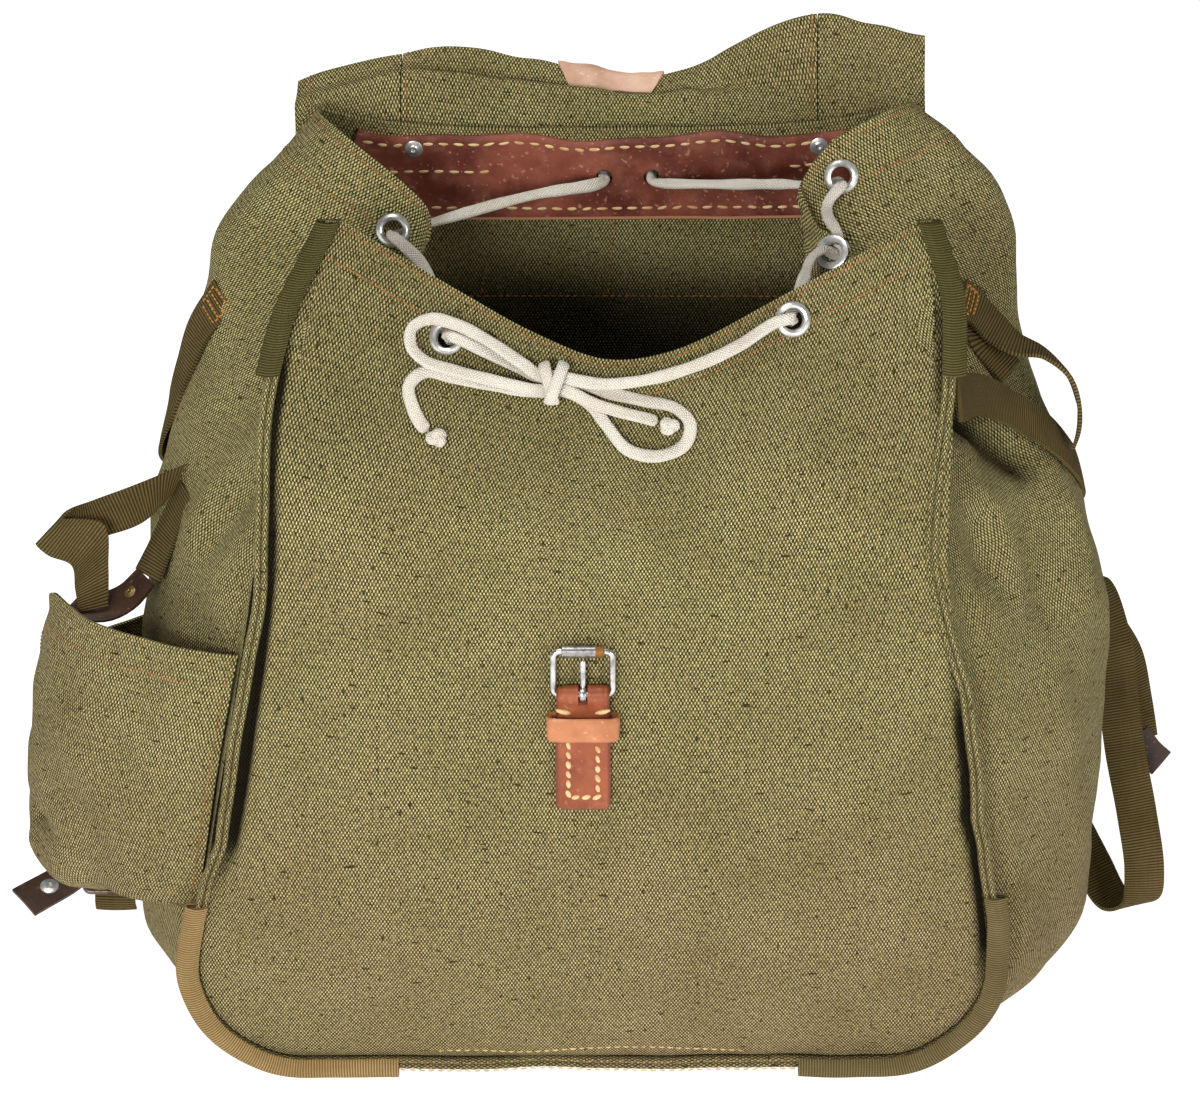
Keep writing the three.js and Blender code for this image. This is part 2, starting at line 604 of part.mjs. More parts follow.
/** The place of the front panel's middle line at a height. */
function frontAt(z) {
  const line = frontGrid.map((_, row) => gridPoint(frontGrid, row, FASTENING.col));
  const i = line.findIndex((point, row) => row > 0 && point.z <= z);
  const share = (line[i - 1].z - z) / (line[i - 1].z - line[i].z);
  return line[i - 1].clone().lerp(line[i], share).setX(FASTENING.x);
}

const barPlace = frontAt(FASTENING.bar);
const panelUp = barPlace.clone().sub(frontAt(FASTENING.foot)).normalize();
const panelOut = vec(1, 0, 0).cross(panelUp);
const onPanel = new THREE.Matrix4().makeBasis(vec(1, 0, 0), panelUp, panelOut).setPosition(barPlace);
const barHeight = FASTENING.lift + FOLD.radius;
const crossBar = (radius, length, sides = 12) =>
  aimed(new THREE.CylinderGeometry(radius, radius, length, sides), vec(0, 0, barHeight), vec(1, 0, 0));
const block = (width, height, depth, x, y, z) =>
  new THREE.BoxGeometry(width, height, depth).translate(x, y, z);
/** A solid with one section all along X. */
function across(section, width) {
  const ends = [-width / 2, width / 2];
  return sweep(ends.map((x) => ({ at: vec(x, 0, 0), side: vec(0, 1, 0), face: vec(0, 0, 1) })), section);
}
const foldOutline = steps(5).map((t) => {
  const angle = Math.PI * (1.2 * t - 0.2);
  return [FOLD.radius * Math.sin(angle), barHeight + FOLD.radius * Math.cos(angle)];
});
const tabSection = [
  [-TAB.length, FASTENING.lift],
  [-TAB.length, FASTENING.lift + TAB.thick],
  [-TAB.shoulder, FASTENING.lift + TAB.thick],
  ...foldOutline,
];
const earCut = (TAB.width - TAB.ears) / 2;
const tabBody = cut(across(tabSection, TAB.width), [
  crossBar(FOLD.bore, 40),
  block(TAB.slot, 20, 30, 0, 10 - TAB.slotFoot, 0),
  block(earCut, 20, 30, (TAB.width - earCut) / 2 + 0.01, 10 - TAB.slotFoot, 0),
  block(earCut, 20, 30, (earCut - TAB.width) / 2 - 0.01, 10 - TAB.slotFoot, 0),
]);
piece("buckle_tab", tabBody.applyMatrix4(onPanel), 0xa85a32, 0.6);
const half = KEEPER.width / 2;
const inner = KEEPER.inner / 2;
const keeperSection = [
  [-half, KEEPER.back],
  [-inner, KEEPER.back],
  [-inner, KEEPER.front - KEEPER.wall],
  [inner, KEEPER.front - KEEPER.wall],
  [inner, KEEPER.back],
  [half, KEEPER.back],
  [half, KEEPER.front - KEEPER.chamfer],
  [half - KEEPER.chamfer, KEEPER.front],
  [KEEPER.chamfer - half, KEEPER.front],
  [-half, KEEPER.front - KEEPER.chamfer],
];
const keeperEnds = [KEEPER.foot, KEEPER.top].map((y) => ({
  at: vec(0, y, 0),
  side: vec(1, 0, 0),
  face: vec(0, 0, 1),
}));
piece("buckle_keeper", sweep(keeperEnds, keeperSection).applyMatrix4(onPanel), 0xb87a50, 0.6);
const frameBody = wireFrame(BUCKLE).translate(0, 0, barHeight);
piece("buckle_frame", frameBody.applyMatrix4(onPanel), STEEL, 0.35, 1);
const tongue = block(PRONG.width, PRONG.length - 2, PRONG.thick, 0, PRONG.length / 2 + 1, barHeight);
const prongBody = cut(joined(crossBar(PRONG.eye, PRONG.width), tongue), [crossBar(PRONG.bore, 10)]);
piece("buckle_prong", prongBody.applyMatrix4(onPanel), STEEL, 0.35, 1);
const rollerProfile = [
  [ROLLER.bore, -ROLLER.length / 2],
  [ROLLER.radius, -ROLLER.length / 2],
  [ROLLER.radius, ROLLER.length / 2],
  [ROLLER.bore, ROLLER.length / 2],
];
const rollerBody = aimed(ring(rollerProfile, ROLLER.sides), vec(0, BUCKLE.height, barHeight), vec(1, 0, 0));
piece("buckle_roller", rollerBody.applyMatrix4(onPanel), STEEL, 0.35, 1);

// Drawcord, in two lengths that meet behind the back panel; each route is a list of places along it
const CORD = { radius: 2.2, sides: 8, step: 13 };
const CORD_RIGHT = [
  [22.4, 98, 386.5], [27.5, 98.6, 387], [32, 96.5, 387.4], [32.8, 90, 387.5],
  [32.9, 81, 387.7], [38, 74, 389], [62, 64, 392], [92, 47, 398],
  [113.5, 33, 402.5], [117.7, 27.6, 405.9], [118, 21.3, 407.1], [118, 14.4, 408.4],
  [112.6, 10.2, 403], [112, 11.9, 396], [116.6, 11.4, 386.5], [117.3, 6.6, 378.3],
  [113.5, 2.2, 380.8], [109.6, -2.2, 383.5], [104.5, -10, 383], [99, -34, 380],
  [91.8, -59.5, 371.5], [92.8, -67.5, 375.5], [92, -74.5, 378.5], [84.9, -76, 377.2],
  [69.4, -80.5, 368.4], [51.8, -86.8, 362], [29.9, -92, 357], [10.2, -94, 355.5],
  [-2.9, -93.2, 357], [-8.2, -91.8, 357.9], [-16.9, -90.6, 357.4], [-27, -87.3, 363.2],
  [-40.2, -81.1, 370.1], [-53.5, -76.2, 375.7], [-66.7, -73.4, 377.9], [-74.6, -74.9, 374.2],
  [-75.1, -78.7, 367.3], [-68.9, -82.2, 361.6], [-55.6, -85.2, 358.1], [-38, -88.9, 354.8],
  [-23.5, -91.9, 352.3], [-17, -92.6, 352.1], [-8.2, -93.2, 352.7], [3.6, -96, 347.8],
  [16.8, -96.8, 343.4], [29, -96.7, 340.1], [33.6, -96.8, 338.5],
];
const CORD_LEFT = [
  [20.4, 98, 386.5], [15.1, 98.6, 387], [10.6, 96.5, 387.4], [9.8, 90, 387.5],
  [9.7, 81, 387.7], [4, 74, 388], [-22, 64, 387], [-62, 46, 382],
  [-82, 34, 379.5], [-86.9, 25.2, 381.4], [-87.1, 19.3, 383.3], [-87.2, 13, 385],
  [-82, 7.6, 382.3], [-74.6, 2.5, 376.6], [-70, -6, 371.2], [-67, -20, 367],
  [-62, -42, 362.5],
  [-58.3, -61.7, 363.6], [-59.2, -69.6, 367.8], [-57.5, -75.8, 370.6], [-51.4, -77.2, 368.7],
  [-40.4, -79, 363.7], [-27.1, -83.3, 358.7], [-21, -85, 356.1], [-17, -85.7, 355.4],
  [-8.2, -86.8, 355.9], [-0.8, -88.6, 353.8], [12.4, -90.2, 349.7], [27.7, -90.8, 346.1],
  [40.9, -90.7, 342.8], [47.6, -92.8, 336], [45.4, -95.9, 327.8], [34.4, -98.1, 323],
  [20.3, -97.7, 325.7], [11.1, -94.4, 335.7], [3.6, -91.3, 344.9], [-8.2, -88.7, 350],
  [-17, -87.9, 349.7], [-27.2, -86.9, 349.7], [-40.4, -84.4, 351.1], [-57.2, -81.3, 353.6],
  [-69.5, -79.4, 355.2], [-76.2, -82.1, 349.6], [-74.4, -86.7, 341.1], [-70.4, -90.1, 334.4],
  [-67.4, -92.3, 332.5],
];
function cord(route) {
  const path = new THREE.CatmullRomCurve3(route.map((place) => vec(...place)), false, "centripetal");
  const section = new THREE.Shape(circle(CORD.radius, CORD.sides).map(([x, y]) => new THREE.Vector2(x, y)));
  const options = { steps: Math.round(path.getLength() / CORD.step), extrudePath: path, bevelEnabled: false };
  return new THREE.ExtrudeGeometry(section, options);
}
const COTTON = 0xe6dfd0;
piece("drawcord_right", cord(CORD_RIGHT), COTTON);
piece("drawcord_left", cord(CORD_LEFT), COTTON);
const END_KNOTS = [
  { name: "cord_knot_right", at: vec(38.3, -97, 336.8), radius: 4.4 },
  { name: "cord_knot_left", at: vec(-63.7, -95, 330.3), radius: 4.6 },
];
END_KNOTS.forEach(({ name, at, radius }) =>
  piece(name, new THREE.IcosahedronGeometry(radius, 1).translate(...at), COTTON),
);

// Middle of the bow: a turn of cord over the four strands, given up the panel and out of it
const BOW = { at: vec(-12.6, -89.7, 353.9), lean: 0.38, width: 9, thick: 2.6 };
const BOW_TURN = [
  { up: -8, out: -4.2 },
  { up: -8, out: 3.4 },
  { up: -5.4, out: 6.8 },
  { up: 0, out: 8 },
  { up: 5.8, out: 6.8 },
  { up: 8.4, out: 3.4 },
  { up: 8.4, out: -4.2 },
];
const bowUp = vec(0, Math.sin(BOW.lean), Math.cos(BOW.lean));
const bowOut = vec(0, -Math.cos(BOW.lean), Math.sin(BOW.lean));
const bowFrames = BOW_TURN.map(({ up, out }, i) => {
  const before = BOW_TURN[Math.max(0, i - 1)];
  const after = BOW_TURN[Math.min(BOW_TURN.length - 1, i + 1)];
  const face = bowUp.clone().multiplyScalar(before.out - after.out);
  face.addScaledVector(bowOut, after.up - before.up).normalize();
  const at = BOW.at.clone().addScaledVector(bowUp, up).addScaledVector(bowOut, out);
  return { at, side: vec(1, 0, 0), face };
});
piece("bow_knot", sweep(bowFrames, box2(BOW.width, BOW.thick)), COTTON);

// Webbing on the sides: a strap across each side, and a slack loop on the right
const WEB = 0x55502c;
const SIDE_STRAP_RIGHT = [
  { x: 166.7, y: -77.2, z: 341, fx: 0.78, fy: -0.55, fz: 0.3 },
  { x: 180, y: -40, z: 328, fx: 0.7, fy: -0.55, fz: 0.45 },
  { x: 196, y: -21, z: 314, fx: 0.68, fy: -0.46, fz: 0.58 },
  { x: 220, y: -6, z: 292, fx: 0.8, fy: -0.3, fz: 0.52 },
  { x: 233.5, y: 10, z: 270, fx: 0.97, fy: 0, fz: 0.25 },
  { x: 230.5, y: 36, z: 247, fx: 0.86, fy: 0.48, fz: 0.15 },
  { x: 214.2, y: 63.8, z: 230, fx: 0.74, fy: 0.66, fz: 0.05 },
  { x: 195, y: 81, z: 222, fx: 0.7, fy: 0.7, fz: 0 },
];
const SIDE_LOOP_RIGHT = [
  { x: 174.8, y: 7.3, z: 357.5, fx: 0.5, fy: -0.62, fz: 0.6 },
  { x: 182.3, y: 9.4, z: 350.6, fx: 0.63, fy: -0.5, fz: 0.59 },
  { x: 191.2, y: 9.4, z: 340.9, fx: 0.63, fy: -0.5, fz: 0.59 },
  { x: 201, y: 7.4, z: 333.8, fx: 0.5, fy: -0.45, fz: 0.75 },
  { x: 214, y: 5, z: 330.5, fx: 0.45, fy: -0.3, fz: 0.85 },
  { x: 226, y: 1, z: 320, fx: 0.9, fy: -0.15, fz: 0.4 },
  { x: 231, y: 0, z: 303, fx: 1, fy: -0.05, fz: 0.05 },
  { x: 231, y: 4, z: 288, fx: 1, fy: 0, fz: 0.1 },
];
const SIDE_STRAP_LEFT = [
  { x: -167.4, y: 27, z: 350.9, fx: -0.55, fy: -0.7, fz: 0.45 },
  { x: -179.4, y: 28.1, z: 333.9, fx: -0.68, fy: -0.5, fz: 0.54 },
  { x: -187.4, y: 26.5, z: 316, fx: -0.84, fy: -0.35, fz: 0.42 },
  { x: -194, y: 26, z: 296, fx: -0.94, fy: -0.2, fz: 0.28 },
  { x: -199.4, y: 33, z: 278.5, fx: -0.97, fy: 0.1, fz: 0.2 },
  { x: -194, y: 56.6, z: 260, fx: -0.88, fy: 0.45, fz: 0.1 },
  { x: -180.8, y: 77.5, z: 250, fx: -0.84, fy: 0.54, fz: 0.03 },
];

// Strap over the pocket: out in a slack loop and down to the leather loop that its lower end carries
const POCKET_STRAP = [
  { x: -185, y: -25, z: 281, fx: -0.6, fy: -0.5, fz: 0.62 },
  { x: -199.5, y: -30, z: 274.5, fx: -0.15, fy: -0.8, fz: 0.55 },
  { x: -214, y: -33, z: 268, fx: 0, fy: -0.87, fz: 0.48 },
  { x: -232, y: -35, z: 260.5, fx: 0, fy: -0.9, fz: 0.43 },
  { x: -246, y: -37, z: 254, fx: -0.4, fy: -0.85, fz: 0.35 },
  { x: -251.5, y: -41.5, z: 249, fx: -1, fy: 0, fz: 0.1 },
  { x: -244, y: -45, z: 247, fx: -0.2, fy: 0.9, fz: -0.35 },
  { x: -234, y: -45.5, z: 244.5, fx: 0, fy: 0.95, fz: -0.3 },
  { x: -229, y: -45, z: 239.6, fx: 0, fy: 1, fz: -0.1 },
  { x: -228.5, y: -44.5, z: 234.3, fx: 0, fy: 1, fz: 0 },
];
const POCKET_STRAP_LOWER = [
  { x: -182.2, y: -30.8, z: 275.8, fx: -0.75, fy: -0.46, fz: 0.47 },
  { x: -190, y: -31, z: 261.5, fx: -0.8, fy: -0.42, fz: 0.42 },
  { x: -197, y: -33.5, z: 249, fx: -0.75, fy: -0.45, fz: 0.5 },
  { x: -202.5, y: -37, z: 242.8, fx: -0.6, fy: -0.45, fz: 0.66 },
];
const POCKET_TAB = [
  { x: -203.8, y: -37.8, z: 242.25, fx: -0.55, fy: -0.4, fz: 0.72 },
  { x: -212, y: -41, z: 235.2, fx: -0.35, fy: -0.38, fz: 0.85 },
  { x: -222, y: -43, z: 231.2, fx: -0.1, fy: -0.36, fz: 0.92 },
  { x: -232, y: -43.5, z: 230.6, fx: 0.15, fy: -0.36, fz: 0.92 },
  { x: -239.5, y: -42.5, z: 231.4, fx: 0.25, fy: -0.36, fz: 0.8 },
];

// Shoulder straps down the back: the right one hangs out in a loop beside the bag and has a loose end with
// a leather tip, the left one ends in a buckle under the pocket and has a leather tip behind it
const SHOULDER_RIGHT = [
  { x: 38, y: 94.7, z: 366, fx: 0, fy: 1, fz: 0 },
  { x: 62, y: 98, z: 328, fx: 0, fy: 1, fz: 0 },
  { x: 98, y: 100.5, z: 280, fx: 0, fy: 1, fz: 0 },
  { x: 145, y: 101.5, z: 238, fx: 0.05, fy: 1, fz: 0 },
  { x: 195, y: 100, z: 210, fx: 0.3, fy: 0.95, fz: 0 },
  { x: 232, y: 84, z: 199, fx: 0.8, fy: 0.6, fz: 0 },
  { x: 253, y: 60, z: 188, fx: 0.95, fy: -0.2, fz: 0.1 },
  { x: 261, y: 52, z: 159, fx: 0.7, fy: -0.7, fz: 0.1 },
  { x: 265, y: 49, z: 130, fx: 0.45, fy: -0.88, fz: 0.1 },
  { x: 270, y: 47, z: 100, fx: 0.35, fy: -0.93, fz: 0.1 },
  { x: 278, y: 43, z: 68, fx: 0.3, fy: -0.95, fz: 0.1 },
  { x: 284, y: 37, z: 38, fx: 0.3, fy: -0.95, fz: 0 },
  { x: 281, y: 38, z: 19, fx: 0.1, fy: -0.6, fz: -0.8 },
  { x: 270, y: 48, z: 13, fx: 0, fy: 0.2, fz: -1 },
  { x: 259, y: 60, z: 28, fx: -0.2, fy: 0.8, fz: -0.5 },
  { x: 243, y: 72, z: 52, fx: 0.35, fy: 0.9, fz: -0.2 },
  { x: 220, y: 80, z: 68, fx: 0.6, fy: 0.78, fz: 0 },
  { x: 195.5, y: 86.5, z: 77, fx: 0.7, fy: 0.72, fz: 0 },
];
const SHOULDER_LEFT = [
  { x: 4, y: 94.7, z: 366, fx: 0, fy: 1, fz: 0 },
  { x: -20, y: 98, z: 328, fx: 0, fy: 1, fz: 0 },
  { x: -60, y: 100.5, z: 280, fx: 0, fy: 1, fz: 0 },
  { x: -105, y: 101.5, z: 222, fx: 0, fy: 1, fz: 0 },
  { x: -145, y: 101.5, z: 160, fx: 0, fy: 1, fz: 0 },
  { x: -176, y: 100.5, z: 105, fx: -0.1, fy: 1, fz: 0 },
  { x: -203, y: 91, z: 72, fx: -0.6, fy: 0.8, fz: 0 },
  { x: -221, y: 66, z: 56, fx: -0.95, fy: 0.3, fz: 0.1 },
  { x: -229, y: 40, z: 50, fx: -0.8, fy: -0.1, fz: 0.6 },
  { x: -232, y: 18, z: 46.5, fx: -0.3, fy: -0.2, fz: 0.93 },
  { x: -232.4, y: 8, z: 42, fx: 0, fy: -0.75, fz: 0.66 },
  { x: -232.6, y: 6.4, z: 35, fx: 0, fy: -1, fz: 0 },
  { x: -232.6, y: 10, z: 30.5, fx: 0, fy: -0.7, fz: -0.7 },
];
const STRAP_TAIL_RIGHT = [
  { x: 254.4, y: 58.1, z: 172.85, fx: 0.85, fy: -0.5, fz: 0.1 },
  { x: 262, y: 62, z: 158, fx: 0.6, fy: -0.75, fz: 0.1 },
  { x: 271, y: 66.5, z: 140, fx: 0.45, fy: -0.87, fz: 0.1 },
  { x: 279, y: 68, z: 116, fx: 0.3, fy: -0.95, fz: 0.1 },
  { x: 284, y: 67, z: 98, fx: 0.2, fy: -0.95, fz: 0.2 },
];
const STRAP_TIP_RIGHT = [
  { x: 286.2, y: 66, z: 94.8, fx: 0.2, fy: -0.95, fz: 0.2 },
  { x: 290.5, y: 64, z: 89.5, fx: 0.15, fy: -0.92, fz: 0.3 },
  { x: 299, y: 61, z: 82, fx: 0.1, fy: -0.9, fz: 0.4 },
];
const STRAP_TIP_LEFT = [
  { x: -226.8, y: 67.7, z: 51.3, fx: -0.9, fy: 0.1, fz: 0.4 },
  { x: -246, y: 50, z: 39, fx: -0.5, fy: -0.3, fz: 0.8 },
  { x: -263, y: 37, z: 31, fx: -0.2, fy: -0.5, fz: 0.85 },
  { x: -281, y: 22, z: 27, fx: -0.1, fy: -0.5, fz: 0.86 },
];
const STRAP_LEATHER = 0x3b2a20;
const STRAPS = [
  { name: "side_strap_right", rows: SIDE_STRAP_RIGHT, steps: 18, color: WEB },
  { name: "side_loop_right", rows: SIDE_LOOP_RIGHT, steps: 18, color: WEB },
  { name: "side_strap_left", rows: SIDE_STRAP_LEFT, steps: 16, color: WEB },
  { name: "pocket_strap", rows: POCKET_STRAP, steps: 18, color: WEB },
  { name: "pocket_strap_lower", rows: POCKET_STRAP_LOWER, steps: 6, color: WEB },
  { name: "pocket_tab", rows: POCKET_TAB, steps: 8, color: STRAP_LEATHER, width: 16 },
  { name: "shoulder_strap_right", rows: SHOULDER_RIGHT, steps: 41, color: WEB },
  { name: "shoulder_strap_left", rows: SHOULDER_LEFT, steps: 30, color: WEB },
  { name: "strap_tail_right", rows: STRAP_TAIL_RIGHT, steps: 9, color: WEB },
  { name: "strap_tip_right", rows: STRAP_TIP_RIGHT, steps: 4, color: STRAP_LEATHER },
  { name: "strap_tip_left", rows: STRAP_TIP_LEFT, steps: 9, color: STRAP_LEATHER },
];
STRAPS.forEach(({ name, rows, steps: count, color, width = WEBBING_WIDTH }) =>
  piece(name, strap(rows, width, WEBBING, count), color),
);

// Buckle of the left shoulder strap, and the rivets in the strap leather
const STRAP_BUCKLE = { width: 29, height: 17, corner: 3, wire: 1.5 };
const STRAP_BUCKLE_AT = vec(-232.6, 5.2, 43);
const strapBuckle = wireFrame(STRAP_BUCKLE).rotateX(Math.PI * 0.24).translate(...STRAP_BUCKLE_AT);
piece("strap_buckle_left", strapBuckle, STEEL, 0.35, 1);
const STRAP_RIVETS = [
  { name: "pocket_rivet", rows: POCKET_TAB, row: 1, gap: 1.2 },
  { name: "strap_rivet_left", rows: STRAP_TIP_LEFT, row: 2, gap: 0.6 },
];
STRAP_RIVETS.forEach(({ name, rows, row, gap }) => {
  const { x, y, z, fx, fy, fz } = rows[row];
  const along = vec(rows[row + 1].x, rows[row + 1].y, rows[row + 1].z).sub(vec(x, y, z)).normalize();
  const face = vec(fx, fy, fz).addScaledVector(along, -along.dot(vec(fx, fy, fz))).normalize();
  const lift = (WEBBING + RIVET.height) / 2 + gap;
  piece(name, rivet(vec(x, y, z).addScaledVector(face, lift), face), STEEL, 0.3, 1);
});

export default rucksack;
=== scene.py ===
"""Looks of a canvas rucksack that stands with its mouth open and its lid thrown back."""
import math
from types import SimpleNamespace

import bpy
import numpy as np
from mathutils import Matrix, Vector


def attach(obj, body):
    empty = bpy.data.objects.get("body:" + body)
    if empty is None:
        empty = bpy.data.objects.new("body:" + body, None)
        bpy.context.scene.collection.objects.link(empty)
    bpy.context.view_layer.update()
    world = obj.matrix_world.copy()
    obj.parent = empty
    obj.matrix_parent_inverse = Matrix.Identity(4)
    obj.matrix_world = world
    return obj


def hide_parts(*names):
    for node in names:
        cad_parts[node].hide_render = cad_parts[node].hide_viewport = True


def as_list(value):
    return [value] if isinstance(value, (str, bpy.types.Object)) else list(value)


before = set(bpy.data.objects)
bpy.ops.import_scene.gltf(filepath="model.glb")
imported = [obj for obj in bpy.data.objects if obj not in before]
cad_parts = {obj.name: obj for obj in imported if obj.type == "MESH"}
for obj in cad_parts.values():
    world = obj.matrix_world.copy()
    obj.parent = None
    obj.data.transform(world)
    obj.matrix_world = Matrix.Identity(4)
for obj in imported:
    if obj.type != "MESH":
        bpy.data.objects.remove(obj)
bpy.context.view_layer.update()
MM = 0.001
PI = math.pi
TURN = 2 * PI

# Camera at the viewing angle of the picture, 1200 by 1115
ELEVATION = math.radians(25)
AIM = np.array((0.008, 0.0, 0.228))
DISTANCE = 1.8
LENS = 114
SENSOR = 36
toward_camera = np.array((0, -math.cos(ELEVATION), math.sin(ELEVATION)))
bpy.ops.object.camera_add(
    location=AIM + DISTANCE * toward_camera, rotation=(PI / 2 - ELEVATION, 0, 0)
)
camera = bpy.context.object
camera.data.lens = LENS
camera.data.sensor_width = SENSOR
bpy.context.scene.camera = camera


# Small maths on arrays; all places are in millimetres until a mesh is made
def lerp(a, b, t):
    return a + (b - a) * t


def smoothstep(x, low, high):
    t = np.clip((x - low) / (high - low), 0, 1)
    return t * t * (3 - 2 * t)


def unit(vectors):
    return vectors / np.maximum(np.linalg.norm(vectors, axis=-1, keepdims=True), 1e-9)


def stack(*parts):
    return np.stack(np.broadcast_arrays(*parts), axis=-1).astype(float)


def unevenness(points, length, seed, waves=20):
    """Soft lumps of about that wavelength, from waves in seeded directions."""
    draw = np.random.default_rng(seed)
    turns = unit(draw.normal(size=(waves, 3))) * draw.uniform(0.6, 1.7, (waves, 1))
    phases = draw.uniform(0, TURN, waves)
    return np.sin(points @ turns.T * (TURN / length) + phases).sum(axis=1) / math.sqrt(waves)


def lumps(points, *waves):
    """Unevenness from several (height, wavelength, seed)."""
    return sum(height * unevenness(points, length, seed) for height, length, seed in waves)


def fold(points, start, end, width, height):
    """A ridge, or a crease where height is negative, from start to end."""
    a, b = np.array(start, float), np.array(end, float)
    t = np.clip((points - a) @ (b - a) / ((b - a) @ (b - a)), 0, 1)
    away = np.linalg.norm(points - (a + t[:, None] * (b - a)), axis=1)
    return height * np.exp(-((away / width) ** 2))


def folds(points, rows):
    return sum(fold(points, *row) for row in rows)


def from_edge(t, reach):
    """0 at both ends of 0 to 1, and 1 from that reach inward."""
    return smoothstep(np.minimum(t, 1 - t), 0, reach)


def run_of(path):
    """Length along a path at each of its points."""
    return np.concatenate([[0], np.cumsum(np.linalg.norm(np.diff(path, axis=0), axis=1))])


def read_along(values, run, mark):
    """Rows of three values, read at lengths along their path."""
    return np.stack([np.interp(mark, run, values[:, k]) for k in range(3)], axis=-1)


class Table:
    """Rows of named columns, read as smooth functions of the first column."""

    def __init__(self, names, rows):
        self.names = names.split()
        self.rows = np.array(rows, float)

    def __call__(self, name, at):
        x, y = self.rows[:, 0], self.rows[:, self.names.index(name)]
        last = len(x) - 1
        index = np.arange(last + 1)
        before, after = np.maximum(index - 1, 0), np.minimum(index + 1, last)
        slope = (y[after] - y[before]) / (x[after] - x[before])
        at = np.clip(at, x[0], x[-1])
        i = np.clip(np.searchsorted(x, at) - 1, 0, last - 1)
        span = x[i + 1] - x[i]
        t = (at - x[i]) / span
        bend = span * (slope[i] * t * (1 - t) ** 2 - slope[i + 1] * t * t * (1 - t))
        return lerp(y[i], y[i + 1], t * t * (3 - 2 * t)) + bend


def smooth_line(points, t):
    """Points of a centripetal curve through a list of places, t from 0 to 1."""
    p = np.array(points, float)
    p = np.vstack([2 * p[0] - p[1], p, 2 * p[-1] - p[-2]])
    place = np.clip(t, 0, 1) * (len(p) - 3)
    i = np.minimum(place.astype(int), len(p) - 4)
    w = (place - i)[:, None]
    a, b, c, d = p[i], p[i + 1], p[i + 2], p[i + 3]
    steps = (b - a, c - b, d - c)
    before, along, after = (np.sqrt(np.linalg.norm(step, axis=1))[:, None] for step in steps)
    leave = ((b - a) / before - (c - a) / (before + along) + (c - b) / along) * along
    arrive = ((c - b) / along - (d - b) / (along + after) + (d - c) / after) * along
    square = 3 * (c - b) - 2 * leave - arrive
    cube = 2 * (b - c) + leave + arrive
    return b + w * (leave + w * (square + w * cube))


# Body: the same stations as the solid walls, read at any height
CANVAS = 1.6
LEATHER = 2.2
WEBBING = 1.8
WEBBING_WIDTH = 20
SEAM_GAP = 0.35
SEAM_INSET = 0.6 * CANVAS
FOOT = 11
CORNER = 52
MOUTH = 412
BOTTOM_SWELL = 22
SIDE_STEPS = 13
CORNER_STEPS = 4
BASE_STEPS = 6
SIDE_END = SIDE_STEPS + CORNER_STEPS
STRIP_END = 2 * SIDE_END + BASE_STEPS
CREASE = SimpleNamespace(reach=0.5, round=0.015, inset=0.006, power=1.3)
LIFT_REACH = 90
RIM_REACH = 180
BACK_SHAPE = SimpleNamespace(dip=13, crown=6, full_at=90)
SECTIONS = Table(
    "z left right front back_left back_right back crown "
    "swell_left swell_right swell_at fold_left fold_right fold_at",
    [
        (11, -182, 190, -95, -172, 182, 88, 0, 36, 56, 0.5, 0, 0, 0.3),
        (70, -180, 189, -99, -172, 182, 91, 16, 40, 62, 0.5, 0, 0, 0.3),
        (130, -171, 181, -104, -172, 182, 93, 18, 42, 68, 0.5, 0, 0, 0.3),
        (200, -158, 172, -105, -170, 181, 93, 15, 44, 71, 0.5, 0, 0, 0.3),
        (270, -146, 163, -99, -166, 178, 92, 13, 46, 64, 0.52, 10, 8, 0.32),
        (330, -140, 164, -84, -156, 174, 89, 6, 40, 45, 0.62, 38, 34, 0.36),
        (375, -129, 164, -63, -140, 166, 86, 2, 37, 42, 0.74, 64, 73, 0.42),
        (412, -108, 152, -40, -124, 154, 82, 0, 6, 10, 0.8, 49, 57, 0.5),
    ],
)
FRONT_RIM = Table(
    "u dip bow",
    [
        (0, 0, 0), (0.2, 25, 20), (0.34, 40, 36), (0.46, 49, 44),
        (0.58, 45, 40), (0.78, 24, 22), (1, 0, 0),
    ],
)
SIDE_RIM = Table(
    "w left right",
    [
        (0, 0, 0), (0.16, -20, -19), (0.27, -35, -31), (0.36, -43, -22), (0.42, -44, -22),
        (0.5, -20, -4), (0.58, -10, 10), (0.68, -2, 16), (0.8, 6, 19), (0.9, 10, 17), (1, 12, 14),
    ],
)
FLAP = SimpleNamespace(lean=14, rise=0.47)


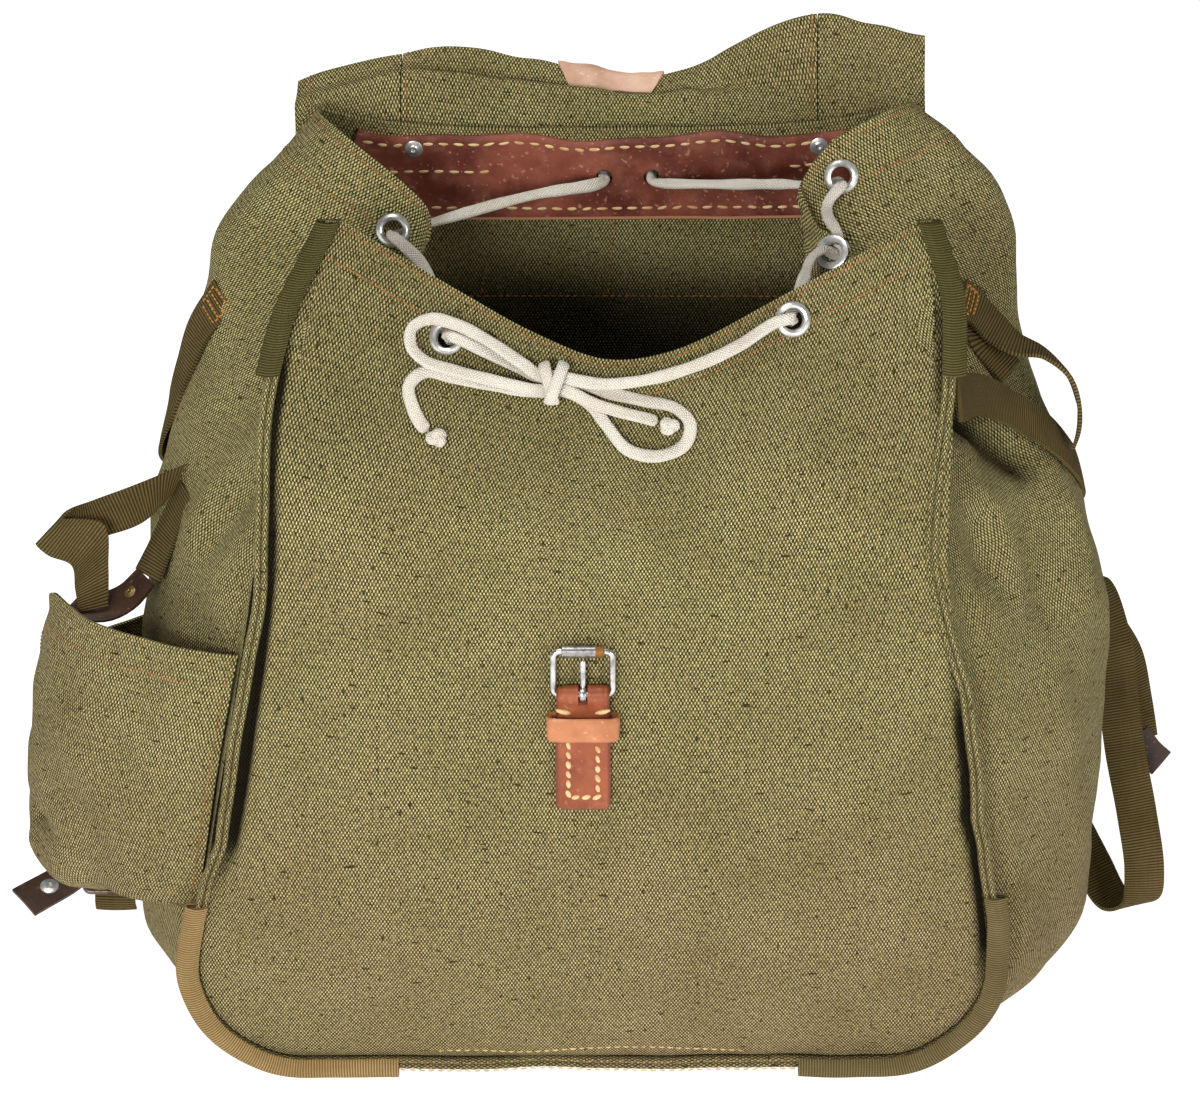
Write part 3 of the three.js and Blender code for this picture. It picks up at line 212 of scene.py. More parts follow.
def station(hand, s):
    """One side of the body at places s, from 0 at the mouth to SIDE_END at the bottom seam."""
    side = "right" if hand > 0 else "left"
    arc = np.clip((s - SIDE_STEPS) / CORNER_STEPS, 0, 1)
    turn = arc * PI / 2
    straight = lerp(MOUTH, FOOT + CORNER, np.minimum(s / SIDE_STEPS, 1))
    z = np.where(arc > 0, FOOT + CORNER * (1 - np.sin(turn)), straight)
    inset = hand * CORNER * (1 - np.cos(turn))
    lift = smoothstep(z, MOUTH - LIFT_REACH, MOUTH)
    back_z = z + lift * SIDE_RIM(side, 1)
    return SimpleNamespace(
        side=side,
        lift=lift,
        front=stack(SECTIONS(side, z) - inset, SECTIONS("front", z), z),
        back=stack(SECTIONS("back_" + side, z) - inset, SECTIONS("back", z), back_z),
        out=stack(hand * np.cos(turn), 0, -np.sin(turn)),
        swell=lerp(SECTIONS("swell_" + side, z), BOTTOM_SWELL, smoothstep(arc, 0, 1)),
        swell_at=SECTIONS("swell_at", z),
        fold=SECTIONS("fold_" + side, z),
        fold_at=SECTIONS("fold_at", z),
        crown=SECTIONS("crown", z),
        rim=np.clip((z - MOUTH + RIM_REACH) / RIM_REACH, 0, 1),
    )


def arch(t, full_at):
    """A half wave over 0 to 1 that is highest at full_at."""
    return np.sin(PI * t ** (math.log(0.5) / np.log(full_at)))


def side_point(st, w):
    """A place of the side strip's outer face, w from 0 at the front seam to 1 at the back seam."""
    edge = stack(0, SEAM_INSET, 0)
    point = lerp(st.front + edge, st.back - edge, w[:, None])
    off = np.sqrt((w - st.fold_at) ** 2 + CREASE.round**2) - CREASE.inset
    crease = st.fold * np.maximum(0, 1 - off / CREASE.reach) ** CREASE.power
    point = point + st.out * (st.swell * arch(w, st.swell_at) - crease)[:, None]
    rise = st.lift * (SIDE_RIM(st.side, w) - w * SIDE_RIM(st.side, 1))
    lean = st.lift * FLAP.lean * np.sin(PI * np.maximum(0, 2 * w - 1))
    point[:, 1] -= lean
    point[:, 2] = np.maximum(0, point[:, 2] + rise + FLAP.rise * lean)
    return point


def along_strip(left, right, s):
    """Between the two sides of the bag, at places s of the side strip."""
    return lerp(left, right, np.clip((s - SIDE_END) / BASE_STEPS, 0, 1)[:, None])


def both_sides(s):
    """Left and right stations, s from the left mouth under the bag to the right mouth."""
    return station(-1, np.minimum(s, SIDE_END)), station(1, np.minimum(STRIP_END - s, SIDE_END))


def strip_point(w, s):
    """The side strip, from the left mouth at s = 0 to the right mouth at s = STRIP_END."""
    left, right = both_sides(s)
    return along_strip(side_point(left, w), side_point(right, w), s)


def pillow(u):
    return 1 - (2 * u - 1) ** 4


def front_point(u, s):
    left, right = station(-1, s), station(1, s)
    point = lerp(left.front, right.front, u[:, None])
    point[:, 1] -= left.crown * pillow(u) + left.rim ** 2 * FRONT_RIM("bow", u)
    point[:, 2] -= smoothstep(left.rim, 0, 1) * FRONT_RIM("dip", u)
    return point


def back_point(u, s):
    left, right = station(-1, s), station(1, s)
    point = lerp(left.back, right.back, u[:, None])
    point[:, 1] += BACK_SHAPE.crown * pillow(u) * smoothstep(point[:, 2], FOOT, BACK_SHAPE.full_at)
    point[:, 2] -= left.lift * BACK_SHAPE.dip * pillow(u)
    return point


# Mesh helpers
MERGE = ("remove_doubles", {"threshold": 1e-6})
OUTWARD = ("normals_make_consistent", {"inside": False})
NOTHING = ("select_all", {"action": "DESELECT"})
EVERYTHING = ("select_all", {"action": "SELECT"})
BORDER = ("select_non_manifold", {"extend": False})
FILL = ("fill_holes", {"sides": 0})


def pick(kind):
    return "select_mode", {"type": kind}


def select_only(*objects):
    """Selects these objects, the first one active."""
    bpy.ops.object.select_all(action="DESELECT")
    for obj in objects:
        obj.select_set(True)
    bpy.context.view_layer.objects.active = objects[0]


def edit(obj, *calls):
    """Operators of edit mode, each a name and its settings."""
    select_only(obj)
    bpy.ops.object.mode_set(mode="EDIT")
    for name, settings in calls:
        getattr(bpy.ops.mesh, name)(**settings)
    bpy.ops.object.mode_set(mode="OBJECT")


def join(obj, other):
    select_only(obj, other)
    bpy.ops.object.join()


def points_of(obj):
    flat = np.empty(len(obj.data.vertices) * 3)
    obj.data.vertices.foreach_get("co", flat)
    return flat.reshape(-1, 3)


def place_points(obj, points):
    obj.data.vertices.foreach_set("co", np.ascontiguousarray(points, float).ravel())
    obj.data.update()


class Surface:
    """A grid of places with its normals, so that other things can lie on it."""

    def __init__(self, grid, side):
        self.grid = grid
        across, down = np.gradient(grid, axis=1), np.gradient(grid, axis=0)
        self.normals = side * unit(np.cross(across, down))
        steps = np.linalg.norm(np.diff(grid, axis=0), axis=2)
        self.arc = np.vstack([np.zeros(grid.shape[1]), np.cumsum(steps, axis=0)])

    def read(self, field, u, v):
        rows, cols = field.shape[0] - 1, field.shape[1] - 1
        row, col = np.clip(v, 0, 1) * rows, np.clip(u, 0, 1) * cols
        i, j = np.minimum(row.astype(int), rows - 1), np.minimum(col.astype(int), cols - 1)
        a, b = (row - i)[:, None], (col - j)[:, None]
        top = lerp(field[i, j], field[i, j + 1], b)
        return lerp(top, lerp(field[i + 1, j], field[i + 1, j + 1], b), a)

    def at(self, u, v, lift=0.0):
        """Places and normals at u and v, lifted off the face."""
        u, v = np.broadcast_arrays(np.atleast_1d(np.asarray(u, float)), np.asarray(v, float))
        normals = unit(self.read(self.normals, u, v))
        return self.read(self.grid, u, v) + lift * normals, normals

    def below_top(self, u, depth):
        """v at that depth in millimetres below the top edge."""
        last = self.arc.shape[1] - 1
        cols = np.clip(np.round(u * last).astype(int), 0, last)
        v = np.linspace(0, 1, self.arc.shape[0])
        return np.array([np.interp(depth, self.arc[:, j], v) for j in cols])


def grid_piece(name, cols, rows, place, side, relief=None, painted_shade=None):
    """A grid with its points where place(u, v) says; side 1 faces along across x down.

    Relief moves its points along the normals, painted_shade says how dark its creases are painted
    as shade.
    """
    bpy.ops.mesh.primitive_grid_add(x_subdivisions=cols, y_subdivisions=rows, size=2, calc_uvs=True)
    obj = bpy.context.object
    obj.name = obj.data.name = name
    flat = points_of(obj)
    u, v = (flat[:, 0] + 1) / 2, (1 - flat[:, 1]) / 2
    i, j = np.round(v * rows).astype(int), np.round(u * cols).astype(int)
    grid = np.empty((rows + 1, cols + 1, 3))
    grid[i, j] = place(u, v)
    surface = Surface(grid, side)
    field = SimpleNamespace(points=grid[i, j], u=u, v=v, top=surface.arc[i, j])
    if painted_shade:
        obj.data.attributes.new("painted_shade", "FLOAT", "POINT").data.foreach_set("value", painted_shade(field))
    if relief:
        grid[i, j] += surface.normals[i, j] * relief(field)[:, None]
        surface = Surface(grid, side)
    place_points(obj, grid[i, j] * MM)
    widths = np.linalg.norm(np.diff(grid, axis=1), axis=2)
    across = np.hstack([np.zeros((rows + 1, 1)), np.cumsum(widths, axis=1)])
    across -= across[:, [cols // 2]]
    down = surface.arc.mean(axis=1)
    corner = np.empty(len(obj.data.loops), int)
    obj.data.loops.foreach_get("vertex_index", corner)
    laid = np.stack([across[i, j], down[i]], axis=1)[corner] * MM
    obj.data.uv_layers.active.data.foreach_set("uv", laid.ravel())
    if side > 0:
        edit(obj, EVERYTHING, ("flip_normals", {}))
    return obj, surface


def closed_piece(name, cols, rows, place):
    """A grid whose edges meet and are merged."""
    obj, _ = grid_piece(name, cols, rows, place, 1)
    edit(obj, EVERYTHING, MERGE, OUTWARD)
    return obj


def face_centres(obj):
    return np.array([face.center for face in obj.data.polygons]) / MM


def cut_faces(obj, inside):
    """Takes faces out of a sheet."""
    edit(obj, pick("FACE"), NOTHING)
    obj.data.polygons.foreach_set("select", inside)
    edit(obj, ("delete", {"type": "FACE"}), pick("VERT"))


PUNCH = SimpleNamespace(depth=12, reach=5)


def punch(obj, at, axis, radius):
    """A round hole through a sheet, at a place and along an axis in millimetres."""
    centres = face_centres(obj) - at
    rim = np.linalg.norm(centres - np.outer(centres @ axis, axis), axis=1)
    cut_faces(obj, (rim < radius) & (np.abs(centres @ axis) < PUNCH.depth))
    edit(obj, NOTHING, BORDER)
    edge = np.zeros(len(obj.data.vertices), bool)
    obj.data.vertices.foreach_get("select", edge)
    points = points_of(obj) / MM
    off = points - at
    along = np.outer(off @ axis, axis)
    spoke = off - along
    near = np.linalg.norm(spoke, axis=1) < radius + PUNCH.reach
    near &= edge & (np.abs(off @ axis) < PUNCH.depth)
    points[near] = at + along[near] + radius * unit(spoke[near])
    place_points(obj, points * MM)


def wall(obj, thickness, offset=-1.0):
    """Thickness behind a sheet's face, or on both sides of it where offset is 0."""
    select_only(obj)
    solid = obj.modifiers.new("Wall", "SOLIDIFY")
    solid.thickness, solid.offset, solid.use_even_offset = thickness * MM, offset, False
    bpy.ops.object.modifier_apply(modifier=solid.name)


def cross_frames(path, faces):
    """Side and face directions along a path, square to it."""
    along = unit(np.gradient(path, axis=0))
    sides = unit(np.cross(along, faces))
    return sides, np.cross(sides, along)


def tube(name, path, faces, section, sides=14, taper=0, swell=1.0, groove=0.0):
    """A tube along a path in millimetres with a section of (half width, half thickness)."""
    sides_at, faces_at = cross_frames(path, faces)
    rows = len(path) - 1
    half_width, half_thick = section
    scale = np.ones(rows + 1) * swell
    if taper:
        ring = np.minimum(np.arange(rows + 1), np.arange(rows + 1)[::-1])
        scale = scale * np.sqrt(1 - (1 - np.clip(ring / taper, 0, 1)) ** 2)

    def place(u, v):
        i = np.round(v * rows).astype(int)
        angle = TURN * u
        dent = 1 - groove * np.sin(angle) ** 8
        a = (half_width * np.cos(angle) * scale[i])[:, None]
        b = (half_thick * np.sin(angle) * dent * scale[i])[:, None]
        return path[i] + a * sides_at[i] + b * faces_at[i]

    return closed_piece(name, sides, rows, place)


def lathe(name, profile, at, axis, segments=32, closed=True):
    """A ring or a knob from a profile of (radius, height) turned round an axis."""
    ring = np.array(profile + profile[:1] if closed else profile, float)
    axis = np.array(axis, float) / np.linalg.norm(axis)
    first = unit(np.cross(axis, (0.3, 0.2, 0.9)))
    second = np.cross(axis, first)

    def place(u, v):
        i = np.round(v * (len(ring) - 1)).astype(int)
        angle = TURN * u
        spoke = np.outer(np.cos(angle), first) + np.outer(np.sin(angle), second)
        return np.array(at) + ring[i, :1] * spoke + ring[i, 1:] * axis

    return closed_piece(name, segments, len(ring) - 1, place)


# Shader maths
class Value:
    """A socket that carries numbers; arithmetic on it adds Math nodes."""

    def __init__(self, finish, socket):
        self.finish = finish
        self.socket = socket

    def maths(self, operation, *terms):
        return self.finish.node("Math", {"operation": operation}, dict(enumerate(terms)))

    def __add__(self, other):
        return self.maths("ADD", self, other)

    def __radd__(self, other):
        return self.maths("ADD", other, self)

    def __sub__(self, other):
        return self.maths("SUBTRACT", self, other)

    def __rsub__(self, other):
        return self.maths("SUBTRACT", other, self)

    def __mul__(self, other):
        return self.maths("MULTIPLY", self, other)

    def __rmul__(self, other):
        return self.maths("MULTIPLY", other, self)

    def __pow__(self, other):
        return self.maths("POWER", self, other)

    def __abs__(self):
        return self.maths("ABSOLUTE", self)

    def sine(self):
        return self.maths("SINE", self)

    def ramp(self, low, high):
        """0 below low and 1 above high, smooth between them."""
        sockets = {"Value": self, "From Min": low, "From Max": high}
        return self.finish.node("MapRange", {"interpolation_type": "SMOOTHSTEP"}, sockets)


class Finish:
    """A material with a Principled shader."""

    def __init__(self, name, **fixed):
        self.material = bpy.data.materials.new(name)
        self.material.use_nodes = True
        self.tree = self.material.node_tree
        self.shader = self.tree.nodes["Principled BSDF"]
        for socket, value in fixed.items():
            self.shader.inputs[socket.replace("_", " ")].default_value = value

    def feed(self, socket, value):
        if isinstance(value, Value):
            self.tree.links.new(value.socket, socket)
        else:
            socket.default_value = value

    def node(self, kind, settings=None, sockets=None, output=0):
        made = self.tree.nodes.new("ShaderNode" + kind)
        for name, value in (settings or {}).items():
            setattr(made, name, value)
        for name, value in (sockets or {}).items():
            self.feed(made.inputs[name], value)
        return Value(self, made.outputs[output])

    def shade(self, **sockets):
        for name, value in sockets.items():
            self.feed(self.shader.inputs[name.replace("_", " ")], value)

    def laid(self):
        """Metres across and along the piece, from its own UV map."""
        uv = self.node("UVMap", {"uv_map": "UVMap"})
        return [self.node("SeparateXYZ", None, {0: uv}, axis) for axis in (0, 1)]

    def places(self):
        return self.node("TexCoord", None, None, "Object")

    def join(self, x, y):
        return self.node("CombineXYZ", None, {0: x, 1: y})

    def noise(self, vector, scale, detail=2.0, roughness=0.5):
        sockets = {"Vector": vector, "Scale": scale, "Detail": detail, "Roughness": roughness}
        return self.node("TexNoise", None, sockets, "Fac")

    def mix(self, factor, first, second):
        """Between two colours, each a Value, a linear colour or screen levels."""
        sockets = {0: factor, 6: first, 7: second}
        for key in (6, 7):
            if isinstance(sockets[key], tuple) and len(sockets[key]) == 3:
                sockets[key] = colour(*sockets[key])
        return self.node("Mix", {"data_type": "RGBA"}, sockets, 2)

    def bump(self, height, distance, strength=1.0):
        sockets = {"Height": height, "Distance": distance, "Strength": strength}
        return self.node("Bump", None, sockets)


def colour(*levels):
    """Screen levels, 0 to 255, as the shader's linear colour."""
    shares = [level / 255 for level in levels]
    linear = [c / 12.92 if c <= 0.04045 else ((c + 0.055) / 1.055) ** 2.4 for c in shares]
    return (*linear, 1.0)

def canvas_finish(name):
    """Plain weave: pale warp dots on dark weft, slubs, faded patches, browner low on the bag, and
    painted shade from the painted_shade attribute.
    """
    f = Finish(name, Roughness=0.95, Specular_IOR_Level=0.06)
    across, along = f.laid()
    places = f.places()
    height = f.node("SeparateXYZ", None, {0: places}, 2)
    cloth = f.join(across, along)
    wander = f.noise(cloth, 70, 2.0)
    warp = (across * (PI / 0.0008) + wander * 2.2).sine()
    weft = (along * (PI / 0.00144) + wander * 1.8).sine()
    over = warp * weft
    top = over.ramp(-0.15, 0.6)
    each = f.noise(f.join(across * 1.2, along * 0.8), 900, 1.0)
    faded = f.noise(places, 26, 3.0, 0.6)
    dots = top * (0.35 + 0.65 * each.ramp(0.2, 0.7)) * (0.42 + 0.7 * faded)
    weathered = f.noise(places, 7, 4.0, 0.6)
    low = (1 - height.ramp(0.0, 0.34)) * 0.6 + weathered.ramp(0.38, 0.7) * 0.4
    dark = f.mix(low, (46, 44, 6), (64, 51, 14))
    pale = f.mix(low, (234, 224, 168), (224, 204, 166))
    ground = f.mix(f.noise(cloth, 420, 2.0).ramp(0.35, 0.75), dark, (110, 95, 46))
    woven = f.mix(dots, ground, pale)
    slub = f.noise(f.join(across * 130, along * 460), 1.0, 1.0).ramp(0.7, 0.735)
    knop = f.noise(f.join(across * 460, along * 190), 1.0, 1.0).ramp(0.71, 0.745)
    specks = (slub + knop).ramp(0.1, 0.9)
    speckled = f.mix(specks * 0.85, woven, (48, 40, 14))
    # Painted shade: the canvas is darkened where the painted_shade attribute is high, in creases,
    # under the side strap and inside the bag.
    painted_shade = f.node("Attribute", {"attribute_name": "painted_shade"}, None, "Fac")
    f.shade(Base_Color=f.mix(painted_shade, speckled, (14, 11, 4)))
    raised = top * 0.7 + abs(over) ** 0.6 * 0.4 + each * 0.3 - specks * 0.3
    f.shade(Normal=f.bump(raised, 0.0005, 0.7))
    return f.material


def tape_finish(name, tone, worn, rib=0.0013):
    """Ribbed binding tape or webbing, with ribs across it and paler rubbed ribs."""
    f = Finish(name, Roughness=0.95, Specular_IOR_Level=0.06)
    across, along = f.laid()
    wander = f.noise(f.join(across, along), 60, 1.0)
    ribs = (along * (PI / rib) + wander * 1.2).sine()
    ends = (across * (PI / 0.00055)).sine()
    rubbed = f.noise(f.join(across, along), 45, 3.0)
    thread = f.noise(f.join(across * 1400, along * 40), 1.0, 1.0)
    light = abs(ribs) ** 1.2 * (0.35 + 0.9 * rubbed) * (0.6 + 0.5 * thread)
    dim = tuple(0.55 * c for c in colour(*tone)[:3]) + (1.0,)
    shadow = f.mix(f.noise(f.places(), 30, 2.0) * 0.5, tone, dim)
    f.shade(Base_Color=f.mix(light, shadow, worn))
    f.shade(Normal=f.bump(abs(ribs) + abs(ends) * 0.35 + thread * 0.2, 0.0008, 0.9))
    return f.material


def leather_finish(name, tone, dark, pale, gloss=0.45, scuffs=0.5, rim=None, rim_tone=None):
    """Leather with pores, creases, scratches and rubbed places; rim says where its edge is worn."""
    f = Finish(name, Specular_IOR_Level=0.4)
    places = f.places()
    pores = f.noise(places, 1100, 3.0, 0.6)
    broad = f.noise(places, 30, 5.0, 0.65)
    fine = f.noise(places, 130, 4.0, 0.6)
    slant = {"Vector": places, "Rotation": (0.5, 0.35, 0.9), "Scale": (7, 0.5, 0.5)}
    grain = f.node("Mapping", {"vector_type": "TEXTURE"}, slant)
    scratch = f.noise(grain, 260, 1.0).ramp(0.66, 0.72)
    stain = f.mix(broad.ramp(0.3, 0.7), dark, tone)
    rubbed = f.mix(fine.ramp(0.45, 0.9) * 0.3, stain, pale)
    worn = f.mix(scratch * scuffs, rubbed, pale)
    if rim:
        worn = f.mix(rim(*f.laid()), worn, rim_tone)
    f.shade(Base_Color=worn)
    f.shade(Roughness=gloss + fine * 0.2 + scratch * 0.1)
    f.shade(Normal=f.bump(pores * 0.5 + fine * 0.6 - scratch * 0.2, 0.0003, 0.5))
    return f.material


def metal_finish(name, tone, mouth_darkening, rough=0.24, spots=0.0, metallic=0.72, brass_from=None):
    """Plated or bright metal with scratches, dull patches, a little rust, and brass beyond an X."""
    f = Finish(name, Metallic=metallic)
    places = f.places()
    patch = f.noise(places, 160, 4.0, 0.65)
    fine = f.noise(places, 900, 2.0)
    rust = f.noise(places, 230, 3.0).ramp(0.6, 0.74) * spots
    if brass_from:
        x = f.node("SeparateXYZ", None, {0: places}, 0)
        rust = rust + x.ramp(brass_from, brass_from + 0.0006)
    worn = f.mix(patch.ramp(0.42, 0.74), tone, mouth_darkening)
    f.shade(Base_Color=f.mix(rust, worn, (150, 106, 58)))
    f.shade(Roughness=rough + patch * 0.2 + rust * 0.3)
    f.shade(Normal=f.bump(fine * 0.6 + patch, 0.0001, 0.4))
    return f.material


def cord_finish(name):
    """Flat braided cotton: slanting strands that cross, slightly soiled."""
    f = Finish(name, Roughness=0.9, Sheen_Weight=0.15, Specular_IOR_Level=0.2)
    across, along = f.laid()
    one = ((along + across) * (PI / 0.0015)).sine()
    other = ((along - across) * (PI / 0.0015)).sine()
    strands = abs(one * other)
    soiled = f.noise(f.places(), 60, 3.0)
    fuzz = f.noise(f.places(), 1500, 2.0)
    ground = f.mix(soiled.ramp(0.4, 0.8) * 0.6, (244, 237, 224), (222, 208, 184))
    f.shade(Base_Color=f.mix((1 - strands) ** 2 * 0.5, ground, (176, 160, 132)))
    f.shade(Normal=f.bump(strands + fuzz * 0.4, 0.0007, 0.8))
    return f.material


def thread_finish(name, tone, dark):
    """Twisted sewing thread."""
    f = Finish(name, Roughness=0.8, Sheen_Weight=0.1)
    places = f.places()
    strands = f.noise(places, 900, 2.0)
    f.shade(Base_Color=f.mix(f.noise(places, 120, 2.0).ramp(0.35, 0.75), tone, dark))
    f.shade(Normal=f.bump(strands, 0.0002, 0.5))
    return f.material


CANVAS_CLOTH = canvas_finish("canvas")
TAPE_OLIVE = tape_finish("olive_tape", (58, 53, 22), (124, 115, 72), 0.0012)
TAPE_TAN = tape_finish("tan_tape", (136, 106, 58), (206, 176, 124))
TAPE_BROWN = tape_finish("brown_tape", (92, 78, 42), (156, 139, 98))
WEB = tape_finish("webbing", (60, 49, 21), (136, 117, 76), 0.0015)
BAND_LEATHER = leather_finish(
    "band_leather", (150, 82, 62), (92, 40, 28), (200, 144, 116), 0.36, 0.55,
    lambda across, along: along.ramp(0.0423, 0.043), (206, 146, 112),
)
TAB_LEATHER = leather_finish(
    "tab_leather", (160, 82, 44), (122, 56, 28), (204, 136, 96), 0.34, 0.3,
    lambda across, along: (abs(across).ramp(0.0102, 0.0122) + 1 - along.ramp(0.0004, 0.0022)) * 0.6,
    (84, 40, 22),
)
KEEPER_LEATHER = leather_finish(
    "keeper_leather", (202, 132, 88), (170, 102, 60), (236, 190, 152), 0.28, 0.25,
    lambda across, along: abs(across).ramp(0.0048, 0.0058) * 0.4, (84, 42, 22),
)
PATCH_LEATHER = leather_finish(
    "patch_leather", (224, 186, 160), (186, 142, 114), (240, 212, 192), 0.6
)
STRAP_LEATHER = leather_finish(
    "strap_leather", (74, 46, 28), (42, 25, 15), (134, 92, 60), 0.42
)
NICKEL = metal_finish("nickel", (232, 230, 226), (170, 166, 160), 0.2)
STEEL = metal_finish("steel", (214, 213, 212), (128, 126, 122), 0.2, 0.35, 0.95)
ROLLER_STEEL = metal_finish(
    "roller_steel", (168, 166, 164), (84, 80, 76), 0.26, 0.5, 0.95, 0.0056
)
BRASS = metal_finish("brass", (176, 142, 88), (96, 72, 40), 0.3, 0.4)
DARK_STEEL = metal_finish("dark_steel", (120, 104, 92), (66, 52, 44), 0.3, 0.6)
COTTON = cord_finish("cotton_cord")
RUST_THREAD = thread_finish("rust_thread", (158, 100, 48), (116, 68, 30))
CREAM_THREAD = thread_finish("cream_thread", (232, 200, 146), (196, 154, 98))
GOLD_THREAD = thread_finish("gold_thread", (196, 134, 56), (150, 94, 36))


def dress(obj, material, *nodes, slot=None, body="bag", angle=40):
    """Material and body of a finished piece, and the CAD nodes that it stands for, which are
    hidden.

    The slot is not used.
    """
    select_only(obj)
    bpy.ops.object.shade_smooth_by_angle(angle=math.radians(angle))
    obj.data.materials.clear()
    obj.data.materials.append(material)
    if nodes:
        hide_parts(*nodes)
    slot or material.name.split(".")[0]
    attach(obj, body)
    return obj


# Drawcord: two lengths of flat braid that meet behind the back panel
CORD = SimpleNamespace(width=5.6, thick=3.3, step=1.4)
CORD_RIGHT = [
    (22.4, 98, 386.5), (27.5, 98.6, 387), (32, 96.5, 387.4), (32.8, 90, 387.5),
    (32.9, 81, 387.7), (38, 74, 389), (62, 64, 392), (92, 47, 398),
    (113.5, 33, 402.5), (117.7, 27.6, 405.9), (118, 21.3, 407.1), (118, 14.4, 408.4),
    (112.6, 10.2, 403), (112, 11.9, 396), (116.6, 11.4, 386.5), (117.3, 6.6, 378.3),
    (113.5, 2.2, 380.8), (109.6, -2.2, 383.5), (104.5, -10, 383), (99, -34, 380),
    (91.8, -59.5, 371.5), (92.8, -67.5, 375.5), (92, -74.5, 378.5), (84.9, -76, 377.2),
    (69.4, -80.5, 368.4), (51.8, -86.8, 362), (29.9, -92, 357), (10.2, -94, 355.5),
    (-2.9, -93.2, 357), (-8.2, -91.8, 357.9), (-16.9, -90.6, 357.4), (-27, -87.3, 363.2),
    (-40.2, -81.1, 370.1), (-53.5, -76.2, 375.7), (-66.7, -73.4, 377.9), (-74.6, -74.9, 374.2),
    (-75.1, -78.7, 367.3), (-68.9, -82.2, 361.6), (-55.6, -85.2, 358.1), (-38, -88.9, 354.8),
    (-23.5, -91.9, 352.3), (-17, -92.6, 352.1), (-8.2, -93.2, 352.7), (3.6, -96, 347.8),
    (16.8, -96.8, 343.4), (29, -96.7, 340.1), (33.6, -96.8, 338.5),
]
CORD_LEFT = [
    (20.4, 98, 386.5), (15.1, 98.6, 387), (10.6, 96.5, 387.4), (9.8, 90, 387.5),
    (9.7, 81, 387.7), (4, 74, 388), (-22, 64, 387), (-62, 46, 382),
    (-82, 34, 379.5), (-86.9, 25.2, 381.4), (-87.1, 19.3, 383.3), (-87.2, 13, 385),
    (-82, 7.6, 382.3), (-74.6, 2.5, 376.6), (-70, -6, 371.2), (-67, -20, 367), (-62, -42, 362.5),
    (-58.3, -61.7, 363.6), (-59.2, -69.6, 367.8), (-57.5, -75.8, 370.6), (-51.4, -77.2, 368.7),
    (-40.4, -79, 363.7), (-27.1, -83.3, 358.7), (-21, -85, 356.1), (-17, -85.7, 355.4),
    (-8.2, -86.8, 355.9), (-0.8, -88.6, 353.8), (12.4, -90.2, 349.7), (27.7, -90.8, 346.1),
    (40.9, -90.7, 342.8), (47.6, -92.8, 336), (45.4, -95.9, 327.8), (34.4, -98.1, 323),
    (20.3, -97.7, 325.7), (11.1, -94.4, 335.7), (3.6, -91.3, 344.9), (-8.2, -88.7, 350),
    (-17, -87.9, 349.7), (-27.2, -86.9, 349.7), (-40.4, -84.4, 351.1), (-57.2, -81.3, 353.6),
    (-69.5, -79.4, 355.2), (-76.2, -82.1, 349.6), (-74.4, -86.7, 341.1), (-70.4, -90.1, 334.4),
    (-67.4, -92.3, 332.5),
]
PANEL_LEAN = 0.38
PANEL_OUT = np.array((0, -math.cos(PANEL_LEAN), math.sin(PANEL_LEAN)))
PANEL_UP = np.array((0, math.sin(PANEL_LEAN), math.cos(PANEL_LEAN)))
CORD_FACE_INSIDE = np.array((0.1, -0.8, 0.55))


def even_path(points, step):
    """A smooth path through places, resampled at an even step."""
    fine = smooth_line(points, np.linspace(0, 1, 40 * len(points)))
    run = run_of(fine)
    return read_along(fine, run, np.linspace(0, run[-1], max(4, int(run[-1] / step))))


def cord_piece(name, route):
    """Flat braid along its route, flat on the panel and on edge inside, with a slight twist."""
    path = even_path(route, CORD.step)
    front = smoothstep(-path[:, 1], 55, 80)[:, None]
    sides, faces = cross_frames(path, unit(lerp(CORD_FACE_INSIDE, PANEL_OUT, front)))
    twist = 0.5 * unevenness(path, 55, len(name))[:, None]
    faces = np.cos(twist) * faces + np.sin(twist) * sides
    swell = 1 + 0.07 * unevenness(path, 22, len(name) + 1)
    section = (CORD.width / 2, CORD.thick / 2)
    obj = tube(name, path, faces, section, 18, taper=2, swell=swell, groove=0.22)
    dress(obj, COTTON, name.replace("_braid", ""), angle=80)
    return obj, path


def end_knot(name, node, at, size, lean):
    """An overhand knot drawn tight."""
    t = np.linspace(0, TURN, 90)
    loop = stack(np.sin(t) + 2 * np.sin(2 * t), np.cos(t) - 2 * np.cos(2 * t), -np.sin(3 * t) * 1.1)
    turn = np.array(Matrix.Rotation(lean, 3, "Y") @ Matrix.Rotation(1.2, 3, "X"))
    path = (loop * size / 3) @ turn.T * (1.1, 0.8, 0.85) + at
    obj = tube(name, path, unit(path - at + (0, -0.01, 0)), (2.3, 2.0), 12)
    return dress(obj, COTTON, node)


BOW = SimpleNamespace(at=np.array((-12.6, -89.7, 353.9)), half_width=2.7, half_thick=1.5, step=0.8)
BOW_TURN = [(-7.6, -3.6), (-8, 3.4), (-5.4, 6.8), (0, 8), (5.8, 6.8), (8.4, 3.4), (8, -3.6)]


def bow_wrap(name, slant, shift, swell):
    """One turn of the cord over the four strands of the bow."""
    turn = [
        BOW.at + up * PANEL_UP + out * swell * PANEL_OUT + (shift + slant * up, 0, 0)
        for up, out in BOW_TURN
    ]
    path = even_path(turn, BOW.step)
    section = (BOW.half_width, BOW.half_thick)
    return tube(name, path, unit(path - BOW.at), section, 14, taper=2, groove=0.2)


